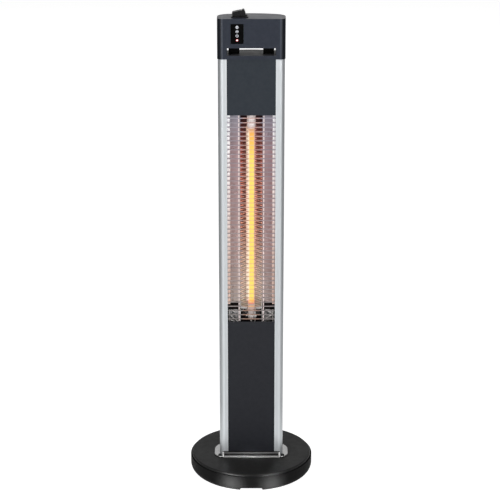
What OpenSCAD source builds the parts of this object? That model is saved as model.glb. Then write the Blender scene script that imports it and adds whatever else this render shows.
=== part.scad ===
// Free-standing infrared patio heater: a slim column on a round weighted foot.
// Origin: centre of the foot on the floor. The front faces -Y and +Z is up.

/* [Foot] */
// Outer radius of the round foot
base_r = 142.5; // [120:0.5:180]
// Height of the foot's rim above the floor
base_rim_z = 41; // [38:0.5:52]
// Radius of the rounded lower edge of the foot
base_round = 18; // [12:0.5:22]
// Wall of the moulded foot shell
base_wall = 3; // [2:0.1:4]
// Height of the cover disc above the foot's rim
cover_rise = 5; // [3:0.5:8]
// Thickness of the cover disc
cover_t = 3.5; // [2.5:0.1:5]
// Open groove round the cover disc
groove_w = 0.7; // [0.4:0.1:1.5]
// Width of each notch in the lower edge
notch_w = 47; // [30:1:60]
// Height of each notch
notch_h = 13.4; // [8:0.2:15]
// Radius of a rubber foot pad
pad_r = 10; // [8:0.5:12]
// Thickness of a rubber foot pad
pad_t = 2; // [1.5:0.1:3]
// Gap between the iron weight and the foot's rounded lower edge, seen from above
weight_gap = 8.5; // [6:0.5:24]
// Thickness of the iron weight
weight_t = 20; // [16:0.5:22]

/* [Foot flange] */
// How far the flange plate's lobes stand out past the column's sides
flange_lobe = 12.8; // [10:0.1:16]
// How far the flange plate stands out in front of and behind the column
flange_over = 8; // [7.5:0.1:12]
// Radius of the flange plate's front corners
flange_corner = 20; // [16:0.5:26]
// Radius where the flange plate's sides turn into its back
flange_side_r = 41; // [36:0.5:43]
// Thickness of the flange plate
flange_t = 2.5; // [2:0.1:4]
// Distance of each end of the flange's bar inside the column's side
bar_inset = 6.5; // [3:0.5:16]
// Height of the bar above the flange plate
bar_h = 10; // [6:0.5:14]

/* [Column] */
// Overall width of the column
column_w = 147; // [140:0.5:160]
// Distance from the middle to the column's front face
column_front = 36; // [34:0.5:42]
// Distance from the middle to the column's back
column_back = 36; // [34:0.5:42]
// Height of the column's top above the floor
column_top = 987.5; // [960:0.5:1040]
// Radius of the front edges
column_corner = 11; // [9:0.5:14]
// Radius where the sides turn into the back
column_side_r = 30; // [26:0.5:32]
// Wall of the aluminium rails
rail_wall = 1.6; // [1.4:0.1:2.2]
// Width of each rail's front strip
strip_w = 19.8; // [18:0.1:22]
// Thickness of the dark front panels
panel_t = 2.4; // [2:0.1:3]
// Thickness of the rear cover
rear_t = 3.2; // [2.8:0.1:4]
// Angle of the joint between rail and rear cover, behind the side
joint_angle = 16; // [10:1:24]

/* [Heater] */
// Height of the lower front panel
lower_panel_h = 331.8; // [300:0.2:360]
// Height of the upper front panel
upper_panel_h = 125.2; // [110:0.2:160]
// Distance between two guard wires
wire_pitch = 10.2; // [9:0.1:12]
// Radius of a guard wire
wire_r = 1.25; // [0.9:0.05:1.25]
// Distance of each upright guard wire from the middle
upright_x = 27.7; // [22:0.1:34]
// Outer radius of the quartz tube
tube_r = 7.6; // [6:0.05:8]
// Wall of the quartz tube
tube_wall = 1; // [0.8:0.1:1.2]
// Distance of the lamp in front of the middle
lamp_front = 8; // [6:0.5:12]
// Distance of the glowing stretch's start above the reflector's lower end
glow_start = 12.3; // [8:0.1:30]
// Distance of the glowing stretch's end below the reflector's upper end
glow_end = 39.2; // [20:0.1:60]
// Half width of the reflector's deep middle trough
trough_half = 25; // [22:0.5:27]
// Thickness of the reflector sheet
reflector_t = 0.8; // [0.6:0.1:1]

/* [Head] */
// How far the head stands out past the column's sides
head_side_over = 1.2; // [1:0.1:5]
// How far the head stands out in front of and behind the column
head_over = 2.5; // [1.5:0.1:6]
// Height of the head above the column
head_h = 88.6; // [84:0.2:100]
// Radius of the head's front edges
head_corner = 12; // [10:0.5:15]
// Radius where the head's sides turn into its back
head_side_r = 31; // [27:0.5:33]
// Wall of the head shell
head_wall = 2.5; // [2:0.1:3]
// Width of the head beside the handle slot
slot_side = 21.2; // [19:0.1:26]
// Height of the handle slot
slot_h = 16.6; // [15:0.1:20]
// Thickness of the head's floor under the slot
plinth_t = 8; // [6:0.1:9]
// Width of each post in the slot
post_w = 24; // [18:0.5:26]
// Depth of each post in the slot
post_d = 24; // [18:0.5:28]
// Gap between a post and the end of the slot
post_gap = 3.5; // [2:0.1:8]
// Width of the black display window
display_w = 28.1; // [24:0.1:32]
// Height of the black display window
display_h = 43.1; // [40:0.1:46]
// Distance of the display's middle to the left of the middle
display_x = 30.9; // [28:0.1:36]
// Distance between two indicator marks
mark_pitch = 9.45; // [8:0.05:10]
// Radius of an indicator mark
mark_r = 3.1; // [2.5:0.05:3.5]

/* [Switch] */
// Distance of the rocker's middle to the left of the middle
switch_x = 25.2; // [22:0.1:30]
// Distance of the rocker's middle in front of the middle
switch_y = 9; // [6:0.5:12]
// Width of the switch's rim
bezel_w = 37.1; // [35:0.1:40]
// Depth of the switch's rim
bezel_d = 27; // [25:0.1:30]
// Thickness of the switch's rim
bezel_t = 2.3; // [1.5:0.1:3]
// Width of the rocker
rocker_w = 28.8; // [27:0.1:29.2]
// Depth of the rocker
rocker_d = 19.6; // [18:0.1:20]
// Height of the rocker above its pin
rocker_h = 16.2; // [14:0.1:18]
// Tilt of the rocker to either side of level
rocker_tilt = 12; // [8:1:13]
// Radius of the rocker's pin
pin_r = 1.25; // [1:0.05:1.4]

/* [Hidden] */

// Fits and overruns
cut = 1;
fit = 0.2;
seat = 0.3;
run_fit = 0.05;
bite = 0.3;
arc_steps = 8;
back_steps = 24;
round_fn = 64;
small_fn = 32;

// Heights of the foot
shell_floor = pad_t + base_wall;
ledge_drop = 3;
ledge_t = 2.5;
ledge_w = 5.5;
rim_wall = 2.6;
rim_round = 1;
ledge_z = base_rim_z - ledge_drop;
cover_top = base_rim_z + cover_rise;
cover_r = base_r - rim_wall - groove_w;
cover_round = 3.5;
floor_ring_w = 26.5;
weight_r = base_r - base_round - weight_gap;
floor_open_r = base_r - base_round - floor_ring_w;
notch_slope = 4;
notch_reach = 6.5;
pad_ring_r = floor_open_r + floor_ring_w / 2;
pad_stem_r = 2.9;
weight_edge = 2;
weight_top = shell_floor + weight_t;

// Column stack
flange_top = cover_top + flange_t;
bar_top = flange_top + bar_h;
bar_half = column_w / 2 - bar_inset;
block_h = 30;
block_gap = 2.2;
block_back = 24;
strip_x = column_w / 2 - strip_w;
block_half = strip_x - block_gap;
window_bottom = flange_top + lower_panel_h;
window_top = column_top - upper_panel_h;
panel_seat_y = -column_front + rail_wall + fit;
rib_t = 1.5;
rib_y = panel_seat_y + panel_t + fit;
groove_depth = 6.3;
panel_half = strip_x + groove_depth - 2 * fit - seat;
channel_r = 3.6;
channel_bore = 1.7;
channel_x = column_w / 2 - rail_wall - channel_r + 2 * bite;
channel_ys = [-column_front / 2, -column_front / 12];
lip_angle = 9;
gap_angle = 1;
block_front = -(rib_y + rib_t + seat);

// Base bolts and tip switch
bolt_border = 17.5;
bolt_x = block_half - bolt_border;
bolt_y = 14;
bolt_r = 3;
bolt_clear = 0.4;
bolt_head_r = 5;
bolt_head_h = 5;
bolt_sink = 8;
bolt_reach = 16;
boss_wall = 4;
collar_screw_gap = 1;
collar_rear_angle = 64;
collar_screw_r = 1.6;
collar_head_r = 3.7;
collar_head_h = 2.8;
collar_screw_l = 9;
tip_y = 60;
tip_r = 3;
tip_travel = 4;
tip_guide_r = 8;
tip_flange_r = 12;
tip_flange_t = 2;
tip_chamber_r = 5.7;
tip_collar_r = 5.2;
tip_collar_t = 2;
tip_floor_t = 9.7;
tip_floor = shell_floor + tip_floor_t;
tip_collar_z = tip_floor + seat + tip_travel;
tip_top = weight_top + tip_flange_t;
spring_wire = 0.35;
spring_r = 4.2;
spring_turns = 4;
spring_steps = 12;
spring_sides = 6;
tip_body = [28, 12, 10];

// Heater stack
spine_y = 15;
spine_t = 1.2;
spine_half = 46;
tab_l = 12;
tab_half = 20;
tab_hole_x = tab_half / 2;
tab_hole_y = spine_y - tab_l / 2;
block_top = flange_top + block_h;
top_block_z = column_top - block_h;
lamp_y = -lamp_front;
cap_l = 20;
cap_wall = 1.1;
cap_r = tube_r + cap_wall;
tube_in = 6;
bracket_t = 1.2;
bracket_border = 2;
bracket_half = trough_half + bracket_border;
bracket_front = 6;
nose_wall = 2.4;
nose_half = cap_r + nose_wall;
nose_front = lamp_front + tube_r + nose_wall;
ear_w = 4;
rim_h = 3.6;
rim_half = trough_half - bracket_t;
rim_start = nose_half - bracket_t;
leg_front = 4;
leg_h = 30;
trough_rise = 23;
trough_bottom = window_bottom + trough_rise;
wing_rise = 18;
wing_bottom = trough_bottom + wing_rise;
reflector_over = 4;
reflector_top = window_top + reflector_over;
glow_bottom = trough_bottom + glow_start;
glow_top = reflector_top - glow_end;
plate_low_z = trough_bottom - seat - bracket_t;
plate_high_z = reflector_top + seat;
bracket_screw_zs = [plate_low_z - cap_l / 2, plate_high_z + bracket_t + cap_l / 2];
reflector_back = spine_y - seat - reflector_t;
wire_front = -column_front + rail_wall + fit + wire_r + run_fit;
upright_share = 1.05;
upright_r = wire_r * upright_share;
side_rod_x = strip_x + groove_depth / 2;
lead_r = 1.5;
lead_sides = 8;
lead_hole_r = 4;
terminal = [40, 14, 24];
terminal_drop = 40;
terminal_top = window_bottom - terminal_drop;
cutout_r = 8;
cutout_l = 7;
cutout_tab_share = 1.5;
cutout_z = (window_top + window_bottom) / 2;
gland_rise = 30;
gland_z = block_top + gland_rise;
gland_r = 6.3;
gland_flange_r = 9;
gland_bore = 3.6;
gland_out = 14;
gland_flange_t = 3;
gland_tip = 1.4;
vent_w = 62;
vent_h = 4;
vent_pitch = 12;
vent_count = 9;
vent_end = 40;
vent_zs = [window_bottom + vent_end, window_top - vent_end - (vent_count - 1) * vent_pitch];

// Head stack
head_top = column_top + head_h;
head_w = column_w + 2 * head_side_over;
head_front = column_front + head_over;
head_back = column_back + head_over;
slot_half = head_w / 2 - slot_side;
post_x = slot_half - post_gap - post_w / 2;
slot_z = column_top + plinth_t;
slot_top = slot_z + slot_h;
liner_t = 2.5;
liner_top = slot_top + liner_t;
liner_side_t = 2;
display_t = 2.6;
display_proud = -0.1;
display_drop = 11.3;
display_top = head_top - display_drop;
display_z = display_top - display_h / 2;
mark_drop = 6.9;
mark_top = display_top - mark_drop;
lens_r = 2.6;
board_t = 1.6;
board_border = 3;
standoff_h = 6;
power_pcb = [56, 44];
power_inset = 12.5;
power_x = head_w / 2 - head_side_r - power_inset;
relay = [27, 11, 15];
relay_gap = 4;
cap_can_r = 6;
cap_can_h = 16;
head_screw_r = 2;
head_screw_head_r = 3.8;
head_screw_head_h = 2.6;
head_screw_reach = 12;
lug_x = 30;
lug_w = 12;
lug_h = 18;
lug_d = 8;
lug_screw_r = 1.5;
lug_screw_head_r = 3.2;
lug_screw_head_h = 1.8;
lug_screw_l = 9;

// Switch stack
pivot_drop = 2.1;
neck_wall = 1.3;
neck_l = 14;
rocker_gap = 0.4;
rim_rise = pivot_drop + bezel_t;
neck_w = rocker_w * cos(rocker_tilt) + 2 * tan(rocker_tilt) * (rim_rise + rocker_w / 2 * sin(rocker_tilt))
    + 2 * (rocker_gap + neck_wall);
neck_d = rocker_d + 2 * (rocker_gap + neck_wall);
pivot_z = head_top - pivot_drop;
neck_bottom = head_top - neck_l;
switch_body_h = 22;
blade = [6.3, 0.8, 9];
blade_count = 3;

// An arc's points, from angle a0 to angle a1
function arc(c, r, a0, a1, n) =
    [for (i = [0 : n]) c + r * [cos(a0 + (a1 - a0) * i / n), sin(a0 + (a1 - a0) * i / n)]];
function flip(list) = [for (i = [len(list) - 1 : -1 : 0]) list[i]];
function mirrored(list) = [for (p = flip(list)) [-p[0], p[1]]];

// A D-shaped plan is [width, front, back, corner radius, side radius]
column_plan = [column_w, column_front, column_back, column_corner, column_side_r];
head_plan = [head_w, head_front, head_back, head_corner, head_side_r];
function side_centre(plan) = [plan[0] / 2 - plan[4], 0];
function corner_centre(plan) = [plan[0] / 2 - plan[3], -plan[1] + plan[3]];
// Middle of the wide back arc, tangent to both side arcs
function back_centre(plan) =
    let (a = side_centre(plan)[0], b = plan[2] - plan[4]) [0, (b * b - a * a) / (2 * b)];
function back_radius(plan) = plan[2] - back_centre(plan)[1];
function blend_angle(plan) = atan2(-back_centre(plan)[1], side_centre(plan)[0]);
function corner_arc(plan, inset) = arc(corner_centre(plan), plan[3] - inset, -90, 0, arc_steps);
function side_arc(plan, inset, a0, a1) = arc(side_centre(plan), plan[4] - inset, a0, a1, arc_steps);
function back_arc(plan, inset) =
    arc(back_centre(plan), back_radius(plan) - inset, blend_angle(plan), 180 - blend_angle(plan), back_steps);
function half_plan(plan, inset) =
    concat(corner_arc(plan, inset), side_arc(plan, inset, 0, blend_angle(plan)));
function d_points(plan, inset = 0) =
    concat(half_plan(plan, inset), back_arc(plan, inset), mirrored(half_plan(plan, inset)));
// Depth of a plan's back at a distance x from the middle
function back_y(plan, x, inset = 0) =
    back_centre(plan)[1] + sqrt(pow(back_radius(plan) - inset, 2) - x * x);

// A tube swept along points with straight runs between them
function unit(v) = v / norm(v);
function side_of(t) = unit(cross(t, abs(t[0]) < abs(t[1]) ? [1, 0, 0] : [0, 1, 0]));
function tangent(p, i) =
    unit(i == 0 ? p[1] - p[0] : i == len(p) - 1 ? p[i] - p[i - 1]
                : unit(p[i] - p[i - 1]) + unit(p[i + 1] - p[i]));
function frames(p, i = 0, last = undef) =
    i == len(p) ? [] :
    let (t = tangent(p, i), s = last == undef ? side_of(t) : unit(last - (last * t) * t))
    concat([[s, cross(t, s)]], frames(p, i + 1, s));
module sweep(p, r, sides) {
    f = frames(p);
    rings = [for (i = [0 : len(p) - 1]) for (k = [0 : sides - 1])
        p[i] + r * (cos(360 * k / sides) * f[i][0] + sin(360 * k / sides) * f[i][1])];
    walls = [for (i = [0 : len(p) - 2]) for (k = [0 : sides - 1])
        let (a = i * sides + k, b = i * sides + (k + 1) % sides)
        each [[a, a + sides, b], [b, a + sides, b + sides]]];
    first = [for (k = [0 : sides - 1]) k];
    final = [for (k = [sides - 1 : -1 : 0]) (len(p) - 1) * sides + k];
    polyhedron(concat(rings), concat(walls, [first, final]));
}

module slab(points, z0, z1) {
    translate([0, 0, z0]) linear_extrude(z1 - z0) polygon(points);
}

module block(x0, x1, y0, y1, z0, z1) {
    translate([x0, y0, z0]) cube([x1 - x0, y1 - y0, z1 - z0]);
}

module post(x, y, z0, z1, r, fn = small_fn) {
    translate([x, y, z0]) cylinder(r = r, h = z1 - z0, $fn = fn);
}

// A round bar along Y
module bar_y(x, z, y0, y1, r, fn = small_fn) {
    translate([x, y0, z]) rotate([-90, 0, 0]) cylinder(r = r, h = y1 - y0, $fn = fn);
}

// Screws beside the column's corners, clear of the rails and of the rear cover
collar_front = corner_centre(column_plan)
    + (column_corner + collar_head_r + collar_screw_gap) * [cos(45), -sin(45)];
collar_rear = side_centre(column_plan)
    + (column_side_r + collar_head_r + collar_screw_gap) * [cos(collar_rear_angle), sin(collar_rear_angle)];
module collar_spots() {
    for (p = [collar_front, collar_rear]) for (s = [-1, 1]) translate([s * p[0], p[1], 0]) children();
}

module four(x, y) {
    for (sx = [-1, 1]) for (sy = [-1, 1]) translate([sx * x, sy * y, 0]) children();
}

// Foot
module notch_cut() {
    depth = base_round + notch_reach;
    half = notch_w / 2;
    z1 = pad_t + notch_h;
    translate([0, -base_r - cut, 0]) rotate([-90, 0, 0]) linear_extrude(depth + cut)
        polygon([[-half - notch_slope, 0], [half + notch_slope, 0], [half, -z1], [-half, -z1]]);
}

module base_shell() {
    inner_r = base_r - base_wall;
    profile = concat(
        [[floor_open_r, pad_t]],
        arc([base_r - base_round, pad_t + base_round], base_round, -90, 0, arc_steps),
        arc([base_r - rim_round, base_rim_z - rim_round], rim_round, 0, 90, 3),
        [[base_r - rim_wall, base_rim_z], [base_r - rim_wall, ledge_z],
         [base_r - base_wall - ledge_w, ledge_z], [base_r - base_wall - ledge_w, ledge_z - ledge_t],
         [inner_r, ledge_z - ledge_t]],
        arc([base_r - base_round, pad_t + base_round], base_round - base_wall, 0, -90, arc_steps),
        [[floor_open_r, shell_floor]]);
    color("#1c1c1e") difference() {
        rotate_extrude($fn = 2 * round_fn) polygon(profile);
        for (a = [0 : 90 : 270]) rotate([0, 0, a]) notch_cut();
        for (a = [45 : 90 : 315]) rotate([0, 0, a])
            post(pad_ring_r, 0, 0, shell_floor + cut, pad_stem_r + run_fit);
    }
}

module base_feet() {
    color("#111112") for (a = [45 : 90 : 315]) rotate([0, 0, a]) {
        post(pad_ring_r, 0, 0, pad_t, pad_r, round_fn);
        post(pad_ring_r, 0, pad_t / 2, shell_floor - fit, pad_stem_r);
    }
}

module base_weight() {
    edge_r = weight_r - weight_edge;
    color("#3b3b3d") difference() {
        rotate_extrude($fn = 2 * round_fn)
            polygon([[0, shell_floor], [edge_r, shell_floor], [weight_r, shell_floor + weight_edge],
                     [weight_r, weight_top - weight_edge], [edge_r, weight_top], [0, weight_top]]);
        four(bolt_x, bolt_y) {
            post(0, 0, 0, weight_top + cut, bolt_r + bolt_clear);
            post(0, 0, 0, shell_floor + bolt_sink, bolt_head_r + 2 * bolt_clear);
        }
        post(0, tip_y, 0, weight_top + cut, tip_guide_r + run_fit);
    }
}

module base_cover() {
    profile = concat(
        [[0, cover_top - cover_t], [cover_r - base_wall, cover_top - cover_t], [cover_r - base_wall, ledge_z],
         [cover_r, ledge_z]],
        arc([cover_r - cover_round, cover_top - cover_round], cover_round, 0, 90, arc_steps),
        [[0, cover_top]]);
    color("#1e1e20") difference() {
        union() {
            rotate_extrude($fn = 2 * round_fn) polygon(profile);
            four(bolt_x, bolt_y) post(0, 0, weight_top, cover_top - cover_t + bite, bolt_r + boss_wall);
            collar_spots()
                post(0, 0, flange_top - collar_screw_l - base_wall, cover_top - cover_t + bite,
                     collar_screw_r + boss_wall - base_wall / 2);
        }
        four(bolt_x, bolt_y) post(0, 0, 0, cover_top + cut, bolt_r + bolt_clear);
        collar_spots()
            post(0, 0, flange_top - collar_screw_l, cover_top + cut, collar_screw_r + run_fit);
    }
}

module base_bolts() {
    head_z = shell_floor + bolt_sink - bolt_head_h;
    color("#8a8c90") four(bolt_x, bolt_y) {
        post(0, 0, head_z, head_z + bolt_head_h, bolt_head_r, 6);
        post(0, 0, head_z + bolt_head_h - bite, flange_top + bolt_reach, bolt_r);
    }
}

// Tip-over switch
module tip_guide() {
    color("#d9d5c8") difference() {
        union() {
            post(0, tip_y, shell_floor, weight_top + bite, tip_guide_r);
            post(0, tip_y, weight_top, tip_top, tip_flange_r);
        }
        post(0, tip_y, 0, tip_top + cut, tip_r + run_fit);
        post(0, tip_y, tip_floor, tip_top + cut, tip_chamber_r);
    }
}

module tip_plunger() {
    color("#c23b2a") translate([0, tip_y, 0]) rotate_extrude($fn = small_fn)
        polygon([[0, 0], [tip_r, 0], [tip_r, tip_collar_z], [tip_collar_r, tip_collar_z],
                 [tip_collar_r, tip_collar_z + tip_collar_t], [tip_r, tip_collar_z + tip_collar_t],
                 [tip_r, tip_top - seat], [0, tip_top - seat]]);
}

module tip_spring() {
    z0 = tip_collar_z + tip_collar_t + spring_wire + run_fit;
    z1 = tip_top - spring_wire - run_fit;
    steps = spring_steps * spring_turns;
    coil = [for (i = [0 : steps]) let (a = 360 * i / spring_steps)
        [spring_r * cos(a), spring_r * sin(a), z0 + (z1 - z0) * i / steps]];
    color("#b9bcc0") translate([0, tip_y, 0]) sweep(coil, spring_wire, spring_sides);
}

module tip_switch() {
    color("#202225")
        block(-tip_body[0] / 2, tip_body[0] / 2, tip_y - tip_body[1] / 2, tip_y + tip_body[1] / 2,
              tip_top, tip_top + tip_body[2]);
}

// Foot flange
flange_w = column_w + 2 * flange_lobe;
flange_front = column_front + flange_over;
flange_back = column_back + flange_over;
flange_plan = [flange_w, flange_front, flange_back, flange_corner, flange_side_r];

module foot_flange() {
    front = -flange_front;
    back = -column_front - seat;
    depth = back - front;
    lip = flange_t / 2;
    end_w = flange_t;
    color("#c9cbcd") difference() {
        union() {
            slab(d_points(flange_plan), cover_top, flange_top);
            translate([-bar_half, 0, 0]) rotate([90, 0, 90]) linear_extrude(2 * bar_half)
                polygon([[front, cover_top + lip / 2], [front, cover_top + lip],
                         [front + depth / 3, flange_top + bar_h / 4], [front + depth / 4, bar_top - lip],
                         [front + depth / 3, bar_top], [back, bar_top], [back, cover_top + lip / 2]]);
            for (s = [-1, 1]) translate([s * (bar_half - end_w / 2), 0, 0]) rotate([90, 0, 90])
                linear_extrude(end_w, center = true)
                    polygon([[front, cover_top + lip / 2], [front, flange_top + bar_h / 2],
                             [front + depth / 4, bar_top], [back, bar_top], [back, cover_top + lip / 2]]);
        }
        four(bolt_x, bolt_y) post(0, 0, 0, bar_top, bolt_r + bolt_clear);
        collar_spots() post(0, 0, 0, bar_top + cut, collar_screw_r + bolt_clear);
        for (s = [-1, 1]) for (y = channel_ys)
            post(s * channel_x, y, 0, flange_top + cut, channel_bore + fit);
    }
}

module flange_screws() {
    color("#17181a") collar_spots() {
        difference() {
            post(0, 0, flange_top, flange_top + collar_head_h, collar_head_r);
            for (a = [0, 90]) rotate([0, 0, a])
                translate([0, 0, flange_top + collar_head_h])
                    cube([collar_head_r, collar_screw_r / 2, collar_head_h], center = true);
        }
        post(0, 0, flange_top - collar_screw_l + fit, flange_top + bite, collar_screw_r);
    }
}

// Die-cast block inside an end of the column
module end_block(z0, z1) {
    z = (z0 + z1) / 2;
    boss_end = rear_inner_y(lug_x + boss_wall) - seat;
    difference() {
        union() {
            block(-block_half, block_half, -block_front, block_back, z0, z1);
            for (s = [-1, 1]) bar_y(s * lug_x, z, block_back - bite, boss_end, boss_wall);
        }
        for (s = [-1, 1])
            bar_y(s * lug_x, z, block_back, boss_end + cut, lug_screw_r + run_fit);
    }
}

function rear_inner_y(x) = back_y(column_plan, x, rear_t);

module foot_block() {
    color("#77797c") difference() {
        end_block(flange_top, block_top);
        four(bolt_x, bolt_y) post(0, 0, flange_top - cut, flange_top + bolt_reach + seat, bolt_r + run_fit);
        for (s = [-1, 1])
            post(s * tab_hole_x, tab_hole_y, block_top - tab_l, block_top + cut, lug_screw_r + run_fit);
    }
}

module top_block() {
    color("#77797c") difference() {
        end_block(top_block_z, column_top);
        for (s = [-1, 1]) {
            post(s * post_x, 0, column_top - head_screw_reach - seat, column_top + cut,
                 head_screw_r + run_fit);
            post(s * tab_hole_x, tab_hole_y, top_block_z - cut, top_block_z + tab_l, lug_screw_r + run_fit);
        }
    }
}

// Right-hand rail; the left one is its mirror image
module rail() {
    outer = concat(corner_arc(column_plan, 0), side_arc(column_plan, 0, 0, joint_angle));
    inner = concat(corner_arc(column_plan, rail_wall), side_arc(column_plan, rail_wall, 0, joint_angle));
    skin = concat([[strip_x, -column_front]], outer, flip(inner), [[strip_x, -column_front + rail_wall]]);
    rib_end = column_w / 2 - rail_wall - 2 * bite - rib_t / 2;
    web_x = strip_x + groove_depth;
    channel_web = channel_x - channel_r;
    translate([0, 0, flange_top]) linear_extrude(column_top - flange_top) difference() {
        union() {
            polygon(skin);
            translate([strip_x, rib_y]) square([rib_end - strip_x, rib_t]);
            translate([web_x, -column_front + rail_wall / 2])
                square([rib_t, rib_y + rib_t / 2 + column_front - rail_wall / 2]);
            for (y = channel_ys) translate([channel_x, y]) circle(r = channel_r, $fn = small_fn);
        }
        for (y = channel_ys) translate([channel_x, y]) circle(r = channel_bore, $fn = small_fn);
    }
}

module right_rail() {
    color("#b4b8bc") rail();
}

module left_rail() {
    color("#b4b8bc") mirror([1, 0, 0]) rail();
}

module rail_screws() {
    r = channel_bore - run_fit;
    color("#8a8c90") for (s = [-1, 1]) for (y = channel_ys) {
        post(s * channel_x, y, cover_top + fit, flange_top + bolt_reach, r);
        post(s * channel_x, y, column_top - bolt_reach, column_top + plinth_t / 2, r);
    }
}

module rear_cover() {
    inset = rail_wall + fit;
    side = concat(side_arc(column_plan, inset, joint_angle - lip_angle, joint_angle + gap_angle),
                  side_arc(column_plan, 0, joint_angle + gap_angle, blend_angle(column_plan)));
    inner = side_arc(column_plan, rear_t, joint_angle - lip_angle, blend_angle(column_plan));
    profile = concat(side, back_arc(column_plan, 0), mirrored(side),
                     flip(mirrored(inner)), flip(back_arc(column_plan, rear_t)), flip(inner));
    color("#26272a") difference() {
        slab(profile, flange_top, column_top);
        for (z0 = vent_zs) for (i = [0 : vent_count - 1])
            block(-vent_w / 2, vent_w / 2, 0, column_back + cut,
                  z0 + i * vent_pitch, z0 + i * vent_pitch + vent_h);
        bar_y(0, gland_z, 0, column_back + cut, gland_r + run_fit);
        for (z = [flange_top + block_h / 2, column_top - block_h / 2]) for (s = [-1, 1])
            bar_y(s * lug_x, z, 0, column_back + cut, lug_screw_r + fit);
    }
}

module rear_cover_screws() {
    y = back_y(column_plan, lug_x - lug_screw_head_r);
    color("#8a8c90") for (z = [flange_top + block_h / 2, column_top - block_h / 2]) for (s = [-1, 1]) {
        bar_y(s * lug_x, z, y, y + lug_screw_head_h, lug_screw_head_r);
        bar_y(s * lug_x, z, y - lug_screw_l, y + lug_screw_head_h / 2, lug_screw_r);
    }
}

module panel(z0, z1) {
    block(-panel_half, panel_half, panel_seat_y, panel_seat_y + panel_t, z0, z1);
}

module lower_panel() {
    color("#2a2c30") panel(flange_top, window_bottom);
}

module upper_panel() {
    color("#3d4047") panel(window_top, column_top);
}

// Heater
module chassis_spine() {
    hole_low = terminal_top + terminal[2] / 2;
    color("#45474a") difference() {
        union() {
            block(-spine_half, spine_half, spine_y, spine_y + spine_t, block_top, top_block_z);
            for (z = [block_top, top_block_z - spine_t])
                block(-tab_half, tab_half, spine_y - tab_l, spine_y + spine_t, z, z + spine_t);
        }
        bar_y(0, hole_low, 0, column_back, lead_hole_r);
        bar_y(0, plate_high_z + 2 * cap_l, 0, column_back, lead_hole_r);
        for (s = [-1, 1]) {
            post(s * tab_hole_x, tab_hole_y, 0, column_top, lug_screw_r + fit);
            for (z = bracket_screw_zs) bar_y(s * tab_hole_x, z, 0, column_back, lug_screw_r + fit);
        }
    }
}

module spine_screws() {
    low = block_top + spine_t;
    high = top_block_z - spine_t;
    back = spine_y + spine_t;
    color("#8a8c90") for (s = [-1, 1]) {
        post(s * tab_hole_x, tab_hole_y, block_top - lug_screw_l, low + bite, lug_screw_r);
        post(s * tab_hole_x, tab_hole_y, low, low + lug_screw_head_h, lug_screw_head_r);
        post(s * tab_hole_x, tab_hole_y, high - bite, top_block_z + lug_screw_l, lug_screw_r);
        post(s * tab_hole_x, tab_hole_y, high - lug_screw_head_h, high, lug_screw_head_r);
        for (z = bracket_screw_zs) {
            bar_y(s * tab_hole_x, z, spine_y - bracket_t - seat, back + bite, lug_screw_r);
            bar_y(s * tab_hole_x, z, back, back + lug_screw_head_h, lug_screw_head_r);
        }
    }
}

// Half profile of the reflector, from its middle outwards
wing_inset = 5.7;
lip_inset = 4.7;
lip_under = 2.3;
wing_end_x = strip_x - wing_inset;
lip_x = strip_x - lip_inset;
lip_end_x = strip_x + lip_under;
wing_start_y = -5;
wing_end_y = -13;
lip_front_y = -27.5;
trough_steps = 8;
function trough_point(k) =
    let (x = trough_half * k / trough_steps)
    [x, reflector_back + (wing_start_y - reflector_back) * pow(x / trough_half, 2)];
trough_path = [for (k = [0 : trough_steps]) trough_point(k)];
wing_path = [[trough_half, wing_start_y], [wing_end_x, wing_end_y],
             [lip_x, lip_front_y], [lip_end_x, lip_front_y]];
function normal_at(p, i) =
    let (t = i == 0 ? [1, 0] : i == len(p) - 1 ? unit(p[i] - p[i - 1])
                    : unit(unit(p[i] - p[i - 1]) + unit(p[i + 1] - p[i]))) [-t[1], t[0]];
function thick(p, t) = concat(p, flip([for (i = [0 : len(p) - 1]) p[i] + t * normal_at(p, i)]));

module reflector() {
    trough = concat(mirrored([for (i = [1 : trough_steps]) trough_path[i]]), trough_path);
    color("#a9a4a6") union() {
        slab(thick(trough, reflector_t), trough_bottom, reflector_top);
        for (m = [0, 1]) mirror([m, 0, 0]) slab(thick(wing_path, reflector_t), wing_bottom, reflector_top);
    }
}

// Plate that closes an end of the trough and carries the lamp; s is 1 where its tab points up
module lamp_bracket(plate_z, s) {
    tab_z = s > 0 ? plate_z : plate_z + bracket_t;
    tab_end = tab_z + s * (cap_l + bracket_t);
    tab_back = spine_y - seat;
    difference() {
        union() {
            block(-bracket_half, bracket_half, -bracket_front, tab_back, plate_z, plate_z + bracket_t);
            block(-nose_half, nose_half, -nose_front, 0, plate_z, plate_z + bracket_t);
            block(-tab_half, tab_half, tab_back - bracket_t, tab_back,
                  min(tab_z, tab_end), max(tab_z, tab_end));
        }
        post(0, lamp_y, plate_z - cut, plate_z + bracket_t + cut, tube_r + seat);
        for (x = [-tab_hole_x, tab_hole_x])
            bar_y(x, bracket_screw_zs[s > 0 ? 1 : 0], 0, column_back, lug_screw_r + run_fit);
    }
}

// The lower plate also has an upturned rim in front of the trough, and on each side an ear with a leg,
// which closes the space under a wing
module lamp_bracket_bottom() {
    leg_y = lamp_y - leg_front;
    color("#8f9194") union() {
        lamp_bracket(plate_low_z, -1);
        for (m = [0, 1]) mirror([m, 0, 0]) {
            block(trough_half, wing_end_x, leg_y, leg_y + bracket_t,
                  plate_low_z - leg_h, plate_low_z + bracket_t / 2);
            block(bracket_half - ear_w, bracket_half, leg_y, 0, plate_low_z, plate_low_z + bracket_t);
            block(rim_start, rim_half, -bracket_front, bracket_t - bracket_front,
                  plate_low_z, plate_low_z + bracket_t + rim_h);
        }
    }
}

module lamp_bracket_top() {
    color("#8f9194") lamp_bracket(plate_high_z, 1);
}

tube_z0 = plate_low_z - seat - tube_in;
tube_z1 = plate_high_z + bracket_t + seat + tube_in;

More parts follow.
